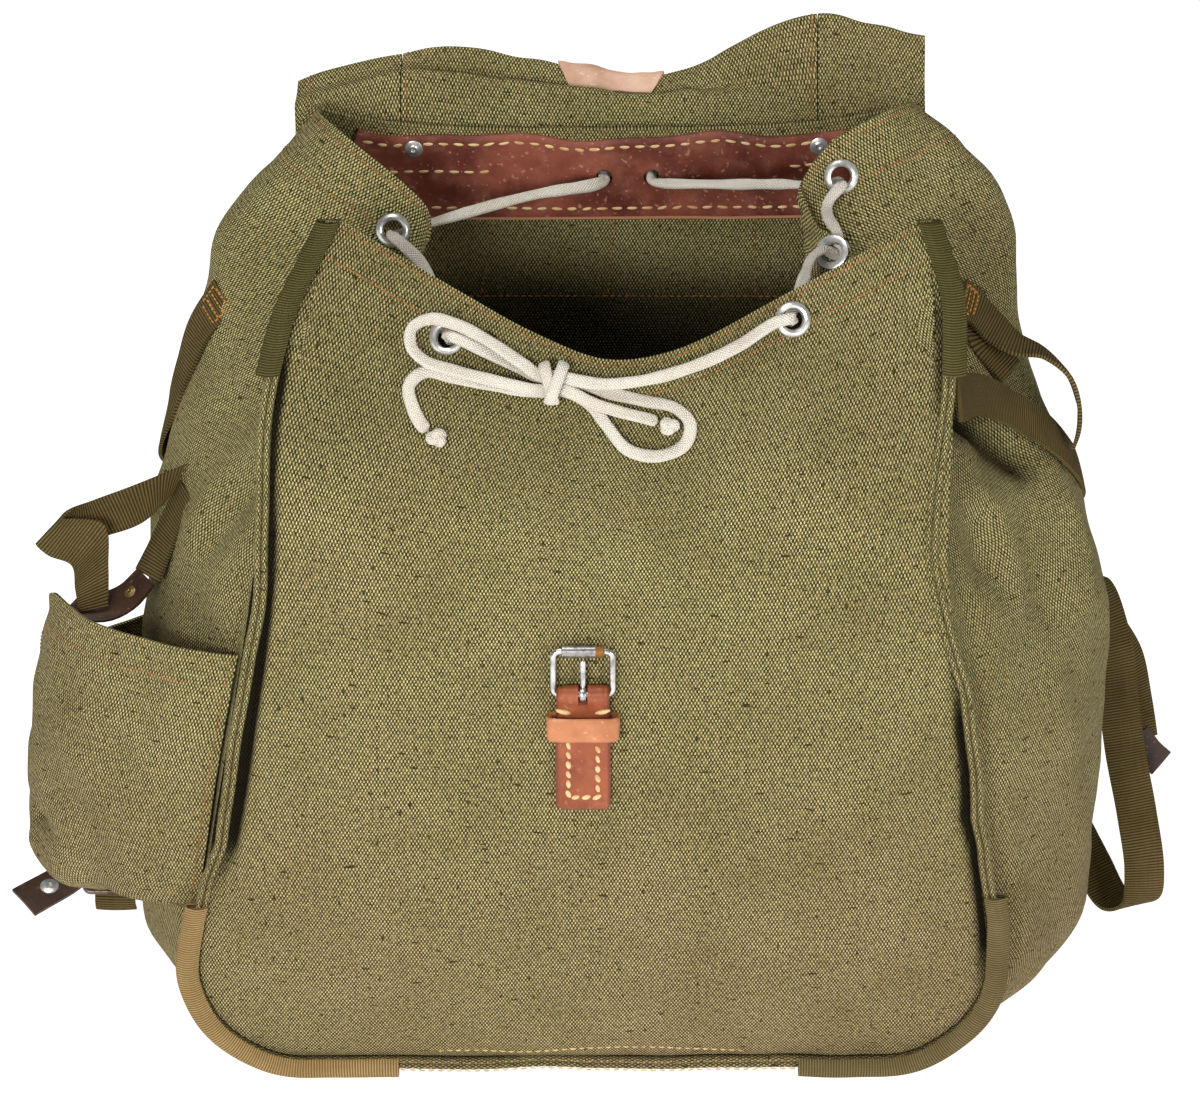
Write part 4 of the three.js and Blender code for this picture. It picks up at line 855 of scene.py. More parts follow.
bow = bow_wrap("bow_wrap", 0.38, 1.6, 1.0)
join(bow, bow_wrap("bow_wrap_under", -0.25, -1.8, 0.86))
dress(bow, COTTON, "bow_knot", angle=80)
KNOT_RIGHT, KNOT_LEFT = np.array((38.3, -97, 336.8)), np.array((-63.7, -95, 330.3))
knot_right = end_knot("end_knot_right", "cord_knot_right", KNOT_RIGHT, 2.6, 0.4)
knot_left = end_knot("end_knot_left", "cord_knot_left", KNOT_LEFT, 2.9, -0.6)
CORDS = [
    ("drawcord_right_braid", CORD_RIGHT, [knot_right, bow]),
    ("drawcord_left_braid", CORD_LEFT, [knot_left]),
]
for name, route, pieces in CORDS:
    cord, path = cord_piece(name, route)
    path[0] * MM
    run_of(path)[-1] * MM
    (path * MM).tolist()
    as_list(pieces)


# Stitches
def stitch_shape():
    """One stitch, 1 long: a ball with its poles along X."""
    turned = (0, PI / 2, 0)
    bpy.ops.mesh.primitive_uv_sphere_add(segments=8, ring_count=5, radius=0.5, rotation=turned)
    bpy.ops.object.transform_apply(location=True, rotation=True, scale=True)
    ball = bpy.context.object
    points = points_of(ball)
    faces = [list(face.vertices) for face in ball.data.polygons]
    bpy.data.objects.remove(ball)
    return points, faces


STITCH_POINTS, STITCH_FACES = stitch_shape()
STITCH_LOOK = 0.6


def stitches(name, rows, material, slot, pitch, length, width, sink=0.35, slant=0.0):
    """One mesh of stitches along rows of (places, normals) in millimetres, their ends sunk."""
    points, faces = [], []
    draw = np.random.default_rng(len(name))
    for places, normals in rows:
        run = run_of(places)
        for mark in np.arange(pitch / 2, run[-1] - pitch / 4, pitch):
            looks = (mark, mark + STITCH_LOOK, mark - STITCH_LOOK)
            at, ahead, behind = (read_along(places, run, look) for look in looks)
            up = unit(read_along(normals, run, mark))
            along = unit(ahead - behind)
            side = unit(np.cross(up, along))
            along = unit(along + side * draw.normal(slant, 0.1))
            side = np.cross(up, along)
            long, wide = length * draw.uniform(0.88, 1.06), width * draw.uniform(0.9, 1.15)
            local = STITCH_POINTS * (long, wide, width * 0.8)
            local[:, 2] -= sink * (2 * STITCH_POINTS[:, 0]) ** 2
            count = len(points) * len(STITCH_POINTS)
            points.append(at + local @ np.array((along, side, up)))
            faces.extend([[k + count for k in face] for face in STITCH_FACES])
    mesh = bpy.data.meshes.new(name)
    mesh.from_pydata((np.concatenate(points) * MM).tolist(), [], faces)
    obj = bpy.data.objects.new(name, mesh)
    bpy.context.scene.collection.objects.link(obj)
    edit(obj, EVERYTHING, OUTWARD)
    dress(obj, material, slot=slot)


# Painted shade inside the bag: its darkness and the heights where it begins and is full.
INSIDE_SHADE = SimpleNamespace(dark=0.75, top=350, deep=318)


def paint_shade_inside(obj):
    """Painted shade on the inner layer of a wall, deeper in the bag."""
    layers = obj.data.attributes
    layer = layers.get("painted_shade") or layers.new("painted_shade", "FLOAT", "POINT")
    painted_shade = np.empty(len(layer.data))
    layer.data.foreach_get("value", painted_shade)
    z = points_of(obj)[:, 2] / MM
    inner = np.arange(len(z)) >= len(z) // 2
    deep = INSIDE_SHADE.dark * smoothstep(z, INSIDE_SHADE.top, INSIDE_SHADE.deep) * inner
    layer.data.foreach_set("value", np.maximum(painted_shade, deep))


# Front panel
HEM = 18


def hem(field, depth=HEM, height=0.7):
    """The doubled cloth of a hem, with a soft edge."""
    return height * (1 - smoothstep(field.top, depth - 0.5, depth + 2.5))


# The front welt lies over the panel's edge, further in at some heights: (height, inward)
WELT_INWARD = {
    -1: [
        (63, 0), (90, 0.5), (112, 3), (132, 7.6), (175, 7.2),
        (220, 7), (262, 5.5), (310, 2.7), (345, 1.5), (412, 0),
    ],
    1: [
        (63, 0), (90, -1.5), (130, -1), (145, 1.5), (170, -0.5), (210, 0),
        (240, 5), (275, 10), (310, 9), (345, 5.5), (375, 4), (412, 2),
    ],
}
WELT_CREASE = SimpleNamespace(off=3.2, width=2.6, depth=4)


def welt_inward(hand, z):
    return np.interp(z, *zip(*WELT_INWARD[hand]))


def welt_crease(field, under=1):
    """1 along the crease where the panel dips under the welt; under 0 keeps it 1 below the welt."""
    x, _, z = field.points.T
    left = smoothstep(z, 95, 150) * smoothstep(z, 378, 345)
    right_low = smoothstep(z, 40, 90) * smoothstep(z, 230, 185)
    right_high = 0.6 * smoothstep(z, 326, 352) * smoothstep(z, 394, 374)
    sides = ((-1, field.u, left), (1, 1 - field.u, np.maximum(right_low, right_high)))
    crease = 0
    for hand, share, strength in sides:
        off = share * np.ptp(x) - welt_inward(hand, z) - WELT_CREASE.off
        off = np.where(off < 0, under * off, off)
        crease = crease + strength * np.exp(-((off / WELT_CREASE.width) ** 2))
    return crease


def front_painted_shade(field):
    """Painted shade in the crease under the welt, and darker towards the mouth, more so on the
    left.
    """
    x, _, z = field.points.T
    mouth_darkening = 0.2 * smoothstep(z, 285, 335) * (1 - 0.5 * smoothstep(x, 0, 110))
    return np.maximum(mouth_darkening, np.minimum(1.25 * welt_crease(field, 0), 0.97))


FRONT_FOLDS = [
    ((150, -62, 372), (112, -82, 330), 15, -4),
    ((158, -76, 342), (120, -96, 300), 18, 3),
    ((-110, -64, 372), (-84, -84, 322), 14, -3),
    ((-40, -100, 330), (50, -108, 306), 20, -2),
    ((-150, -112, 120), (-60, -120, 96), 22, 2.5),
]


def front_relief(field):
    p = field.points
    uneven = lumps(p, (1.1, 120, 3), (0.5, 48, 4)) + folds(p, FRONT_FOLDS)
    free = from_edge(field.u, 0.06) * smoothstep(field.v, 1, 0.93)
    inward = smoothstep(np.minimum(field.u, 1 - field.u) * np.ptp(p[:, 0]), 4, 12)
    return hem(field) + free * uneven - WELT_CREASE.depth * inward * welt_crease(field)


FRONT_COLS = 260
front, FRONT = grid_piece(
    "front_canvas", FRONT_COLS, 130, lambda u, v: front_point(u, v * SIDE_END), -1,
    front_relief, front_painted_shade,
)
EYELET_HOLE = 5.9
PANEL_COLS = 12
FRONT_EYELETS = [
    ("eyelet_front_left", 2.58 / PANEL_COLS, 0.68 / SIDE_END),
    ("eyelet_front_right", 9.2 / PANEL_COLS, 0.42 / SIDE_END),
]
STRIP_EYELETS = [
    ("eyelet_side_left_back", 6.44 / PANEL_COLS, 0.54 / STRIP_END),
    ("eyelet_side_right_back", 6.75 / PANEL_COLS, 1 - 0.4 / STRIP_END),
    ("eyelet_side_left_front", 3.98 / PANEL_COLS, 0.36 / STRIP_END),
    ("eyelet_side_right_front", 4.32 / PANEL_COLS, 1 - 0.36 / STRIP_END),
]


# Side strip
STRIP_FOLDS = [
    ((172, -72, 318), (186, -78, 262), 12, -9),
    ((172, -30, 319), (205, -25, 290), 9, -8),
    ((168, -66, 330), (176, -34, 317), 9, -6),
    ((196, -40, 300), (214, -58, 232), 16, -6),
    ((188, -68, 276), (196, -72, 246), 9, -6),
    ((178, -74, 300), (204, -52, 284), 8, 4),
    ((222, -20, 262), (236, -30, 225), 12, 4),
    ((-150, -66, 316), (-168, -62, 268), 11, -7),
    ((-176, -40, 300), (-186, -50, 262), 10, 4),
]


def strip_relief(field):
    p = field.points
    foot = smoothstep(p[:, 2], 4, 40)
    uneven = from_edge(field.u, 0.1) * foot * lumps(p, (1.6, 90, 11), (0.8, 40, 12))
    length = STRIP_END * np.minimum(field.v, 1 - field.v)
    hemmed = 0.7 * (1 - smoothstep(length, 0.62, 0.72))
    trough = -4.0 * np.exp(-(((field.u - 0.045) / 0.03) ** 2)) * foot
    return uneven + hemmed + trough + from_edge(field.u, 0.05) * folds(p, STRIP_FOLDS)


STRAP_SHADE = [
    ((166, -70, 332), (178, -32, 316), 9, 0.9),
    ((176, -34, 316), (206, -26, 288), 7, 0.8),
]


# Painted shadow of the right side strap on the side strip, along STRAP_SHADE.
def strip_painted_shadow(field):
    return np.clip(folds(field.points, STRAP_SHADE), 0, 0.92)


strip, STRIP = grid_piece(
    "side_canvas", 64, 320, lambda u, v: strip_point(u, v * STRIP_END), 1, strip_relief, strip_painted_shadow
)
EYELET_PROFILE = [
    (4.6, -2.0), (4.45, -0.6), (4.6, 1.3), (5.1, 2.2), (6.1, 2.55), (7.1, 2.15), (7.9, 1.35),
    (8.0, 1.0), (6.6, 0.9), (5.3, 0.85), (5.3, -2.4), (6.8, -2.5), (8.0, -2.5), (7.9, -2.9),
    (6.4, -3.4), (5.1, -3.2),
]
for cloth, surface, rows in ((front, FRONT, FRONT_EYELETS), (strip, STRIP, STRIP_EYELETS)):
    for name, u, v in rows:
        at, normal = (part[0] for part in surface.at(u, v))
        punch(cloth, at, normal, EYELET_HOLE)
        dress(lathe(name + "_ring", EYELET_PROFILE, at, normal, 36), NICKEL, name, angle=30)
for cloth, node in ((front, "front_panel"), (strip, "gusset")):
    wall(cloth, CANVAS)
    dress(cloth, CANVAS_CLOTH, node)

# Back panel and the leather band inside it
back, BACK = grid_piece("back_canvas", 96, 110, lambda u, v: back_point(u, v * SIDE_END), 1)
BAND = SimpleNamespace(top=0.06, foot=1.72, start=0.07, end=0.93)


def band_point(u, v):
    wave = 0.07 * (1 + np.sin(TURN * (2.4 * u + 0.1))) + 0.03 * np.sin(TURN * 5.3 * u)
    down = lerp(BAND.top + wave, BAND.foot, v)
    at, normal = BACK.at(lerp(BAND.start, BAND.end, u), down / SIDE_END)
    return at - normal * (CANVAS + SEAM_GAP + LEATHER)


def band_relief(field):
    return lumps(field.points, (0.35, 45, 21)) - 0.5 * (1 - from_edge(field.v, 0.06))


band, BAND_FACE = grid_piece("band_leather_strip", 160, 40, band_point, -1, band_relief)
CORD_HOLES = np.array([(9.9, 88.0, 387.5), (32.7, 88.0, 387.5)])
CORD_HOLE = 4.0
for at in CORD_HOLES:
    for cloth in (back, band):
        punch(cloth, at, np.array((0.0, 1.0, 0.0)), CORD_HOLE)
wall(back, CANVAS)
wall(band, LEATHER)
# Painted shade on the inner faces of the walls, deeper in the bag.
for cloth in (front, strip, back):
    paint_shade_inside(cloth)
dress(back, CANVAS_CLOTH, "back_panel")
dress(band, BAND_LEATHER, "back_band")
RIVET_PROFILE = np.array([
    (0.0, -0.1), (1.2, -0.1), (1.3, 0.9), (1.7, 1.2), (2.2, 0.9),
    (2.7, 0.65), (4.1, 0.6), (4.7, 0.3), (4.8, 0.0), (0.0, -0.2),
])


def rivet(name, surface, u, v, lift, size, metal):
    """A hollow rivet head on a face."""
    at, normal = (part[0] for part in surface.at(u, v, lift))
    head = lathe(name + "_head", size * RIVET_PROFILE, at, normal, 24, closed=False)
    dress(head, metal, name, slot="nickel", angle=30)


for name, col in (("band_rivet_left", 1.37), ("band_rivet_right", 10.75)):
    rivet(name, BAND_FACE, col / PANEL_COLS, 0.15, 0.1, 0.9, NICKEL)

# Lid thrown back over the back panel
LID = Table(
    "x ridge dip crest",
    [
        (-137, 416, 420, 426), (-110, 428, 430, 435), (-87, 435, 433, 440), (-60, 432, 428, 442),
        (-10, 425.5, 423, 433), (38, 423, 421, 428), (60, 421, 423, 434), (84, 420, 430, 450),
        (112, 417, 434, 458), (135, 416, 432, 454), (163, 413, 426, 447),
    ],
)
LID_COURSE = [
    (101, "ridge", 0), (109, "dip", 0), (118, "crest", 0), (127, "crest", 8), (133, "crest", 45),
    (137, "crest", 110), (139, "crest", 175), (140, "crest", 235),
]
LID_EDGES = SimpleNamespace(left=-137, seam_left=-87, seam_right=112, right=163)


def lid_point(x, t):
    """The lid's inner face, now outermost: x across, t from the sewn edge to the hanging edge."""
    left, right = BACK.grid[0, 0, 0], BACK.grid[0, -1, 0]
    hinge, _ = BACK.at(np.clip((x - left) / (right - left), 0.02, 0.98), 0.75 / SIDE_END)
    inside = smoothstep(np.minimum(x - left, right - x), 4, 26)
    course = [stack(x, hinge[:, 1] + lerp(4.6, 0.8, inside), hinge[:, 2])]
    course += [stack(x, y, LID(row, x) - drop) for y, row, drop in LID_COURSE]
    course = [2 * course[0] - course[1]] + course + [2 * course[-1] - course[-2]]
    course = np.stack(course, axis=1)
    place = np.clip(t, 0, 1) * (course.shape[1] - 3)
    i = np.minimum(place.astype(int), course.shape[1] - 4)
    w = (place - i)[:, None]
    n = np.arange(len(x))
    a, b, c, d = (course[n, i + k] for k in range(4))
    curve = b + 0.5 * w * (c - a + w * (2 * a - 5 * b + 4 * c - d + w * (3 * (b - c) + d - a)))
    return lerp(curve, lerp(b, c, w), 0.35)


LID_FOLDS = [
    ((10, 101, 424), (-70, 104, 434), 5, 1.6),
    ((44, 112, 427), (100, 112, 440), 6, 1.8),
    ((46, 106, 421), (90, 103, 421), 5, 1.2),
    ((-14, 110, 424), (-84, 114, 437), 7, -1.6),
]


def lid_relief(field):
    p = field.points
    uneven = lumps(p, (1.0, 70, 31), (0.5, 30, 32)) + folds(p, LID_FOLDS)
    return smoothstep(field.v, 0.02, 0.14) * uneven


LID_PARTS = [
    ("lid_canvas", "lid_panel", LID_EDGES.seam_left + 0.6, LID_EDGES.seam_right - 0.6, 72),
    ("lid_wing_left", "lid_side_left", LID_EDGES.left, LID_EDGES.seam_left, 20),
    ("lid_wing_right", "lid_side_right", LID_EDGES.seam_right, LID_EDGES.right, 20),
]
LIDS = {}
for name, node, start, end, cols in LID_PARTS:
    cloth, LIDS[name] = grid_piece(
        name, cols, 120, lambda u, v: lid_point(lerp(start, end, u), v), 1, lid_relief
    )
    wall(cloth, CANVAS)
    dress(cloth, CANVAS_CLOTH, node)
    (end - start) * MM
PATCH = SimpleNamespace(col=6.05, cols=2.95, lift=1.9, thick=1.5)


def patch_point(u, v):
    col = PATCH.col + PATCH.cols * (u - 0.5) * lerp(1.06, 0.78, v)
    at, normal = LIDS["lid_canvas"].at(col / PANEL_COLS, lerp(3, 2.1, v) / 8)
    return at + normal * PATCH.lift


def patch_relief(field):
    return lumps(field.points, (0.5, 16, 41)) - 0.6 * (1 - from_edge(field.u, 0.06))


patch, _ = grid_piece("lid_leather_patch", 48, 20, patch_point, -1, patch_relief)
wall(patch, PATCH.thick)
dress(patch, PATCH_LEATHER, "lid_patch")

# Side pocket
POCKET = Table(
    "z depth",
    [(78, 0.3), (78.8, 30), (81, 45), (86, 51.5), (96, 54), (150, 54), (190, 52), (226, 48)],
)
POCKET_SPAN = SimpleNamespace(
    start=0.012, end=0.76, full_at=0.42, edge=0.6, top=226, sag=46, foot=78, rise=20
)


def pocket_point(u, v):
    """u from the front seam to the back, v from the mouth to the foot."""
    top = POCKET_SPAN.top - POCKET_SPAN.sag * smoothstep(u, 0.44, 0.74)
    level = lerp(top, POCKET_SPAN.foot, 1 - (1 - v) ** 2)
    z = level + POCKET_SPAN.rise * smoothstep(u, 0.42, 0) * v**3
    st = station(-1, SIDE_STEPS * (MOUTH - z) / (MOUTH - FOOT - CORNER))
    rounded = arch(u, POCKET_SPAN.full_at) ** 0.75
    base = side_point(st, lerp(POCKET_SPAN.start, POCKET_SPAN.end, u))
    return base + st.out * lerp(POCKET_SPAN.edge, POCKET("depth", level), rounded)[:, None]


POCKET_FOLDS = [
    ((-196, -86, 105), (-214, -70, 128), 6, -6),
    ((-190, -88, 94), (-212, -76, 102), 4.5, -6),
    ((-205, -76, 97), (-228, -62, 92), 5, 4),
    ((-264, -40, 112), (-236, -62, 110), 7, -6),
    ((-262, -36, 96), (-230, -64, 90), 6, 2.5),
    ((-240, -60, 170), (-205, -86, 120), 12, 2.5),
]


def pocket_relief(field):
    p = field.points
    uneven = lumps(p, (1.3, 60, 51), (0.6, 28, 52)) + folds(p, POCKET_FOLDS)
    seam = from_edge(field.u, 0.12) * smoothstep(1 - field.v, 0, 0.08)
    return seam * uneven + hem(field, 17, 0.6)


pocket, POCKET_FACE = grid_piece("pocket_canvas", 96, 96, pocket_point, 1, pocket_relief)
wall(pocket, CANVAS)
dress(pocket, CANVAS_CLOTH, "side_pocket")

# Welt seams and the tapes that bind the front one
WELT = SimpleNamespace(width=8.5, thick=3.0, lap=1.4, roll=6.6)
TAPE = SimpleNamespace(thick=1.0, gap=0.25, reach=8.4)


def seam_line(edge, s):
    """Middle of a welt, the way out of the bag and the way it faces, at places s of the strip."""
    left, right = both_sides(s)
    out = unit(along_strip(left.out, right.out, s))
    away = -1 if edge == "front" else 1
    at = along_strip(getattr(left, edge), getattr(right, edge), s)
    if edge == "front":
        inward = np.where(at[:, 0] < 0, welt_inward(-1, at[:, 2]), welt_inward(1, at[:, 2]))
        at -= out * inward[:, None]
    at += out * (SEAM_GAP + WELT.width / 2)
    at[:, 1] += away * WELT.thick / 2
    return at + out * unevenness(at, 60, 61)[:, None] * 0.7, out, np.array((0, away, 0))


def lip_painted_shadow(field):
    """Painted contact shadow along the lip of a welt, where it meets the panel."""
    return 0.95 * np.maximum(smoothstep(field.u, 0.09, 0), smoothstep(field.u, 0.93, 0.95))


def swept(name, edge, start, end, rows, section, pucker=0.0, painted_shade=None):
    """A seam piece with a closed section of (along out, along face), puckered by its stitches."""
    ring = np.array(section + section[:1], float)

    def place(u, v):
        at, out, face = seam_line(edge, lerp(start, end, v))
        k = u * (len(ring) - 1)
        i = np.minimum(k.astype(int), len(ring) - 2)
        local = lerp(ring[i], ring[i + 1], (k - i)[:, None])
        wave = np.sin((at[:, 0] + at[:, 2]) * 1.2 + local[:, 0])
        local[:, 1] += pucker * (local[:, 1] > 0) * wave
        return at + local[:, :1] * out + local[:, 1:] * face

    obj, _ = grid_piece(name, len(ring) - 1, rows, place, 1, painted_shade=painted_shade)
    edit(obj, EVERYTHING, MERGE)
    edit(obj, pick("EDGE"), NOTHING, BORDER, FILL, EVERYTHING, FILL, OUTWARD)
    return obj


def welt_section():
    """Two rounded ridges with a stitched groove between them, lapped over the panel's edge."""
    a = np.linspace(0, 1, 21)
    hump = 0.42 + 0.7 * np.abs(np.sin(TURN * a)) ** 0.7
    edge = np.minimum(1, np.minimum(a, 1 - a) * 9)
    start = -WELT.width / 2 - WELT.lap
    face = list(zip(start + WELT.roll * a, WELT.thick * (edge * hump - 0.5) + 0.4))
    return face + [(start + WELT.roll, -WELT.thick / 2), (start, -WELT.thick / 2)]


# The front welt gets a painted contact shadow along its lip.
WELTS = [("front", 900, 0.25, lip_painted_shadow), ("back", 260, 0.0, None)]
for edge, rows, pucker, painted_shade in WELTS:
    welt = swept(edge + "_welt_seam", edge, 0, STRIP_END, rows, welt_section(), pucker, painted_shade)
    dress(welt, CANVAS_CLOTH, edge + "_welt", angle=60)


def tape_section():
    """A tape folded over the welt, open towards the panel."""
    end, face = WELT.width / 2 + TAPE.gap, WELT.thick / 2 + TAPE.gap
    start, tail = end - TAPE.reach - 1.5, end - TAPE.reach
    rise = np.linspace(0, 1, 9)[:-1]
    crest = face + TAPE.thick - 0.6 + 2.2 * np.sin(PI * rise * 0.86 + 0.1)
    outer = list(zip(lerp(start, end - 1, rise), crest))
    for t in np.linspace(PI / 2, -PI / 2, 9):
        outer.append((end - 1 + (1 + TAPE.thick) * np.cos(t), (face + TAPE.thick) * np.sin(t)))
    outer.append((tail, -face - TAPE.thick))
    inner = [(tail, -face), (end - 0.6, -face), (end, 0.6 - face), (end, face - 0.6)]
    return outer + inner + [(end - 0.6, face), (start, face)]


TAPES = [
    ("upper_left", 0, 2.2, TAPE_OLIVE, "binding_olive"),
    ("lower_left", 11.7, 17.95, TAPE_TAN, "binding_tan"),
    ("lower_right", 22.2, STRIP_END - 11.5, TAPE_BROWN, "binding_brown"),
    ("upper_right", STRIP_END - 2.2, STRIP_END, TAPE_OLIVE, "binding_olive"),
]
for place, start, end, material, slot in TAPES:
    tape = swept("tape_" + place, "front", start, end, 120, tape_section())
    dress(tape, material, "binding_" + place, slot=slot, angle=50)

# Front fastening, on the panel: X to the right, Y up along it, Z out of it
FASTENING = SimpleNamespace(x=0.4, y=-118.75, z=218.0, bar=4.7)
panel_up = np.array((0, 0.0559354, 0.9984344))
panel_out = np.array((0, -0.9984344, 0.0559354))
fastening_at = np.array((FASTENING.x, FASTENING.y, FASTENING.z))


def on_panel(x, y, z):
    """Places of the fastening in millimetres of the bag."""
    x, y, z = np.broadcast_arrays(*(np.atleast_1d(np.asarray(k, float)) for k in (x, y, z)))
    return fastening_at + np.outer(x, (1, 0, 0)) + np.outer(y, panel_up) + np.outer(z, panel_out)


def rounded_loop(width, height, corner, steps=8):
    """A closed path round a rectangle with rounded corners, its lower side on Y = 0."""
    path = []
    for k, (side, top) in enumerate(((1, 1), (-1, 1), (-1, 0), (1, 0))):
        centre = (side * (width / 2 - corner), (height - corner) if top else corner)
        for t in np.linspace(0, 1, steps):
            angle = (k + t) * PI / 2
            x, y = corner * math.cos(angle), corner * math.sin(angle)
            path.append((centre[0] + x, centre[1] + y))
    return np.array(path + path[:1])


BUCKLE = SimpleNamespace(width=26.5, height=20.9, corner=3.2, wire=1.5)
ROLLER_HALF = 9.5


def ring_tube(name, path, out, wire, sides=16):
    """A closed wire along a flat loop."""
    along = unit(np.roll(path[:-1], -1, axis=0) - np.roll(path[:-1], 1, axis=0))
    across = np.cross(np.vstack([along, along[:1]]), out)
    rows = len(path) - 1

    def place(u, v):
        i = np.round(v * rows).astype(int)
        angle = TURN * u
        return path[i] + wire * (np.cos(angle)[:, None] * across[i] + np.outer(np.sin(angle), out))

    return closed_piece(name, sides, rows, place)


loop = rounded_loop(BUCKLE.width, BUCKLE.height, BUCKLE.corner)
frame_path = on_panel(loop[:, 0], loop[:, 1], FASTENING.bar)
buckle = ring_tube("buckle_wire", frame_path, panel_out, BUCKLE.wire)
dress(buckle, STEEL, "buckle_frame", body="frame", angle=60)
ROLLER_PROFILE = [
    (1.85, -ROLLER_HALF), (2.4, -ROLLER_HALF), (2.75, 0.35 - ROLLER_HALF),
    (2.75, 2 - ROLLER_HALF), (2.7, 0), (2.75, ROLLER_HALF - 2),
    (2.75, ROLLER_HALF - 0.35), (2.4, ROLLER_HALF), (1.85, ROLLER_HALF),
]
roller_at = on_panel(0, BUCKLE.height, FASTENING.bar)[0]
roller = lathe("buckle_sleeve", ROLLER_PROFILE, roller_at, (1, 0, 0), 32)
dress(roller, ROLLER_STEEL, "buckle_roller", slot="steel", body="roller", angle=30)
PRONG_UP = [2.6, 6, 10, 14, 16.4, 17]
PRONG_OUT = np.array([0.2, 0.1, 0, 0, 0.1, 0.1])
prong_path = even_path(on_panel(0, PRONG_UP, FASTENING.bar + PRONG_OUT), 0.6)
prong_faces = np.tile(panel_out, (len(prong_path), 1))
prong = tube("buckle_tongue", prong_path, prong_faces, (1.35, 0.9), 12, taper=3)
EYE_PROFILE = [(1.85, -1.4), (2.9, -1.45), (3.15, -1.1), (3.15, 1.1), (2.9, 1.45), (1.85, 1.4)]
join(prong, lathe("prong_eye", EYE_PROFILE, on_panel(0, 0, FASTENING.bar)[0], (1, 0, 0), 24))
dress(prong, STEEL, "buckle_prong", body="prong")

# Leather tab folded round the bar, with a slot for the prong, and the keeper that slides over it
TAB = SimpleNamespace(
    half=12.4, length=57, face=4.9, fold=4.3, corner=3.4, slot=1.9, slot_foot=-4.0
)
KEEPER = SimpleNamespace(half=16.4, top=-9.8, foot=-21.4, middle=5.3, rise=4.9, thick=2.0)
TAB_FRONT = [(-TAB.length, TAB.face), (-24, TAB.face), (-14, 5.2), (-9.5, 5.9), (-5, 6.8)]
TAB_BEND = [
    (TAB.fold * math.cos(t), FASTENING.bar + TAB.fold * math.sin(t))
    for t in np.linspace(2.0, -PI / 2, 16)
]
TAB_COURSE = np.array(TAB_FRONT + TAB_BEND + [(-6, 0.4), (-12, 0.4)])
tab_run = run_of(TAB_COURSE)


def tab_place(u, v):
    """Up the panel, out of it, half width and x of the tab, from its foot over the bar."""
    mark = v * tab_run[-1]
    y, z = (np.interp(mark, tab_run, TAB_COURSE[:, k]) for k in (0, 1))
    corner = np.clip((TAB.corner - TAB.length - y) / TAB.corner, 0, 1)
    half = TAB.half - TAB.corner * (1 - np.sqrt(1 - corner**2)) - 0.6 * smoothstep(y, -12, -6)
    return y, z, half, (2 * u - 1) * half


def tab_point(u, v):
    y, z, _, x = tab_place(u, v)
    return on_panel(x, y, z)


def tab_relief(field):
    y, _, half, x = tab_place(field.u, field.v)
    inward = np.minimum(half - np.abs(x), np.where(field.v < 0.5, y + TAB.length, 99))
    groove = 0.4 * np.exp(-(((inward - 2.2) / 0.6) ** 2))
    worn = 0.9 * (1 - smoothstep(inward, 0, 1.5))
    return lumps(field.points, (0.25, 14, 71)) - groove - worn


tab, _ = grid_piece("tab_leather_fold", 56, 110, tab_point, 1, tab_relief)
centres = face_centres(tab) - fastening_at
cut_faces(tab, (np.abs(centres[:, 0]) < TAB.slot) & (centres @ panel_up > TAB.slot_foot))
wall(tab, LEATHER)
dress(tab, TAB_LEATHER, "buckle_tab", angle=50)


def keeper_point(u, v):
    """Round the tab: u down the keeper, v round its bowed loop."""
    x, z = np.cos(TURN * v), np.sin(TURN * v)
    x = KEEPER.half * np.sign(x) * np.abs(x) ** 0.42
    z = KEEPER.middle + KEEPER.rise * np.sign(z) * np.abs(z) ** 0.6
    return on_panel(x, lerp(KEEPER.top, KEEPER.foot, u), np.maximum(z, 0.6))


def keeper_relief(field):
    inward = np.minimum(field.u, 1 - field.u) * (KEEPER.top - KEEPER.foot)
    return lumps(field.points, (0.2, 12, 72)) - 0.5 * (1 - smoothstep(inward, 0, 1.2))


keeper, _ = grid_piece("keeper_leather_loop", 14, 96, keeper_point, -1, keeper_relief)
edit(keeper, EVERYTHING, MERGE)
wall(keeper, KEEPER.thick)
dress(keeper, KEEPER_LEATHER, "buckle_keeper", slot="tab_leather", angle=50)


# Straps
def ribbon(name, nodes, rows, material=WEB, width=WEBBING_WIDTH, thick=WEBBING, step=2.5):
    """A flat strap through rows of (place, way its face looks)."""
    rows = np.array(rows, float)
    count = max(12, int(run_of(rows[:, :3])[-1] / step))
    t = np.linspace(0, 1, count + 1)
    path = smooth_line(rows[:, :3], t)
    faces = unit(rows[:, 3:])
    place = t * (len(rows) - 1)
    i = np.minimum(place.astype(int), len(rows) - 2)
    looks = lerp(faces[i], faces[i + 1], (place - i)[:, None])
    sides, faces_at = cross_frames(path, looks)
    draw = np.random.default_rng(len(name) + count)
    waver = 0.25 * np.sin(np.linspace(0, count * 0.35, count + 1) + draw.uniform(0, 6))

    def at(u, v):
        k = np.round(v * count).astype(int)
        bow = 0.5 * (1 - (2 * u - 1) ** 2) - 0.3
        out = bow + waver[k] + thick / 2
        return path[k] + ((u - 0.5) * width)[:, None] * sides[k] + out[:, None] * faces_at[k]

    obj, surface = grid_piece(name, 10, count, at, 1)
    wall(obj, thick)
    dress(obj, material, *nodes, angle=50)
    return surface


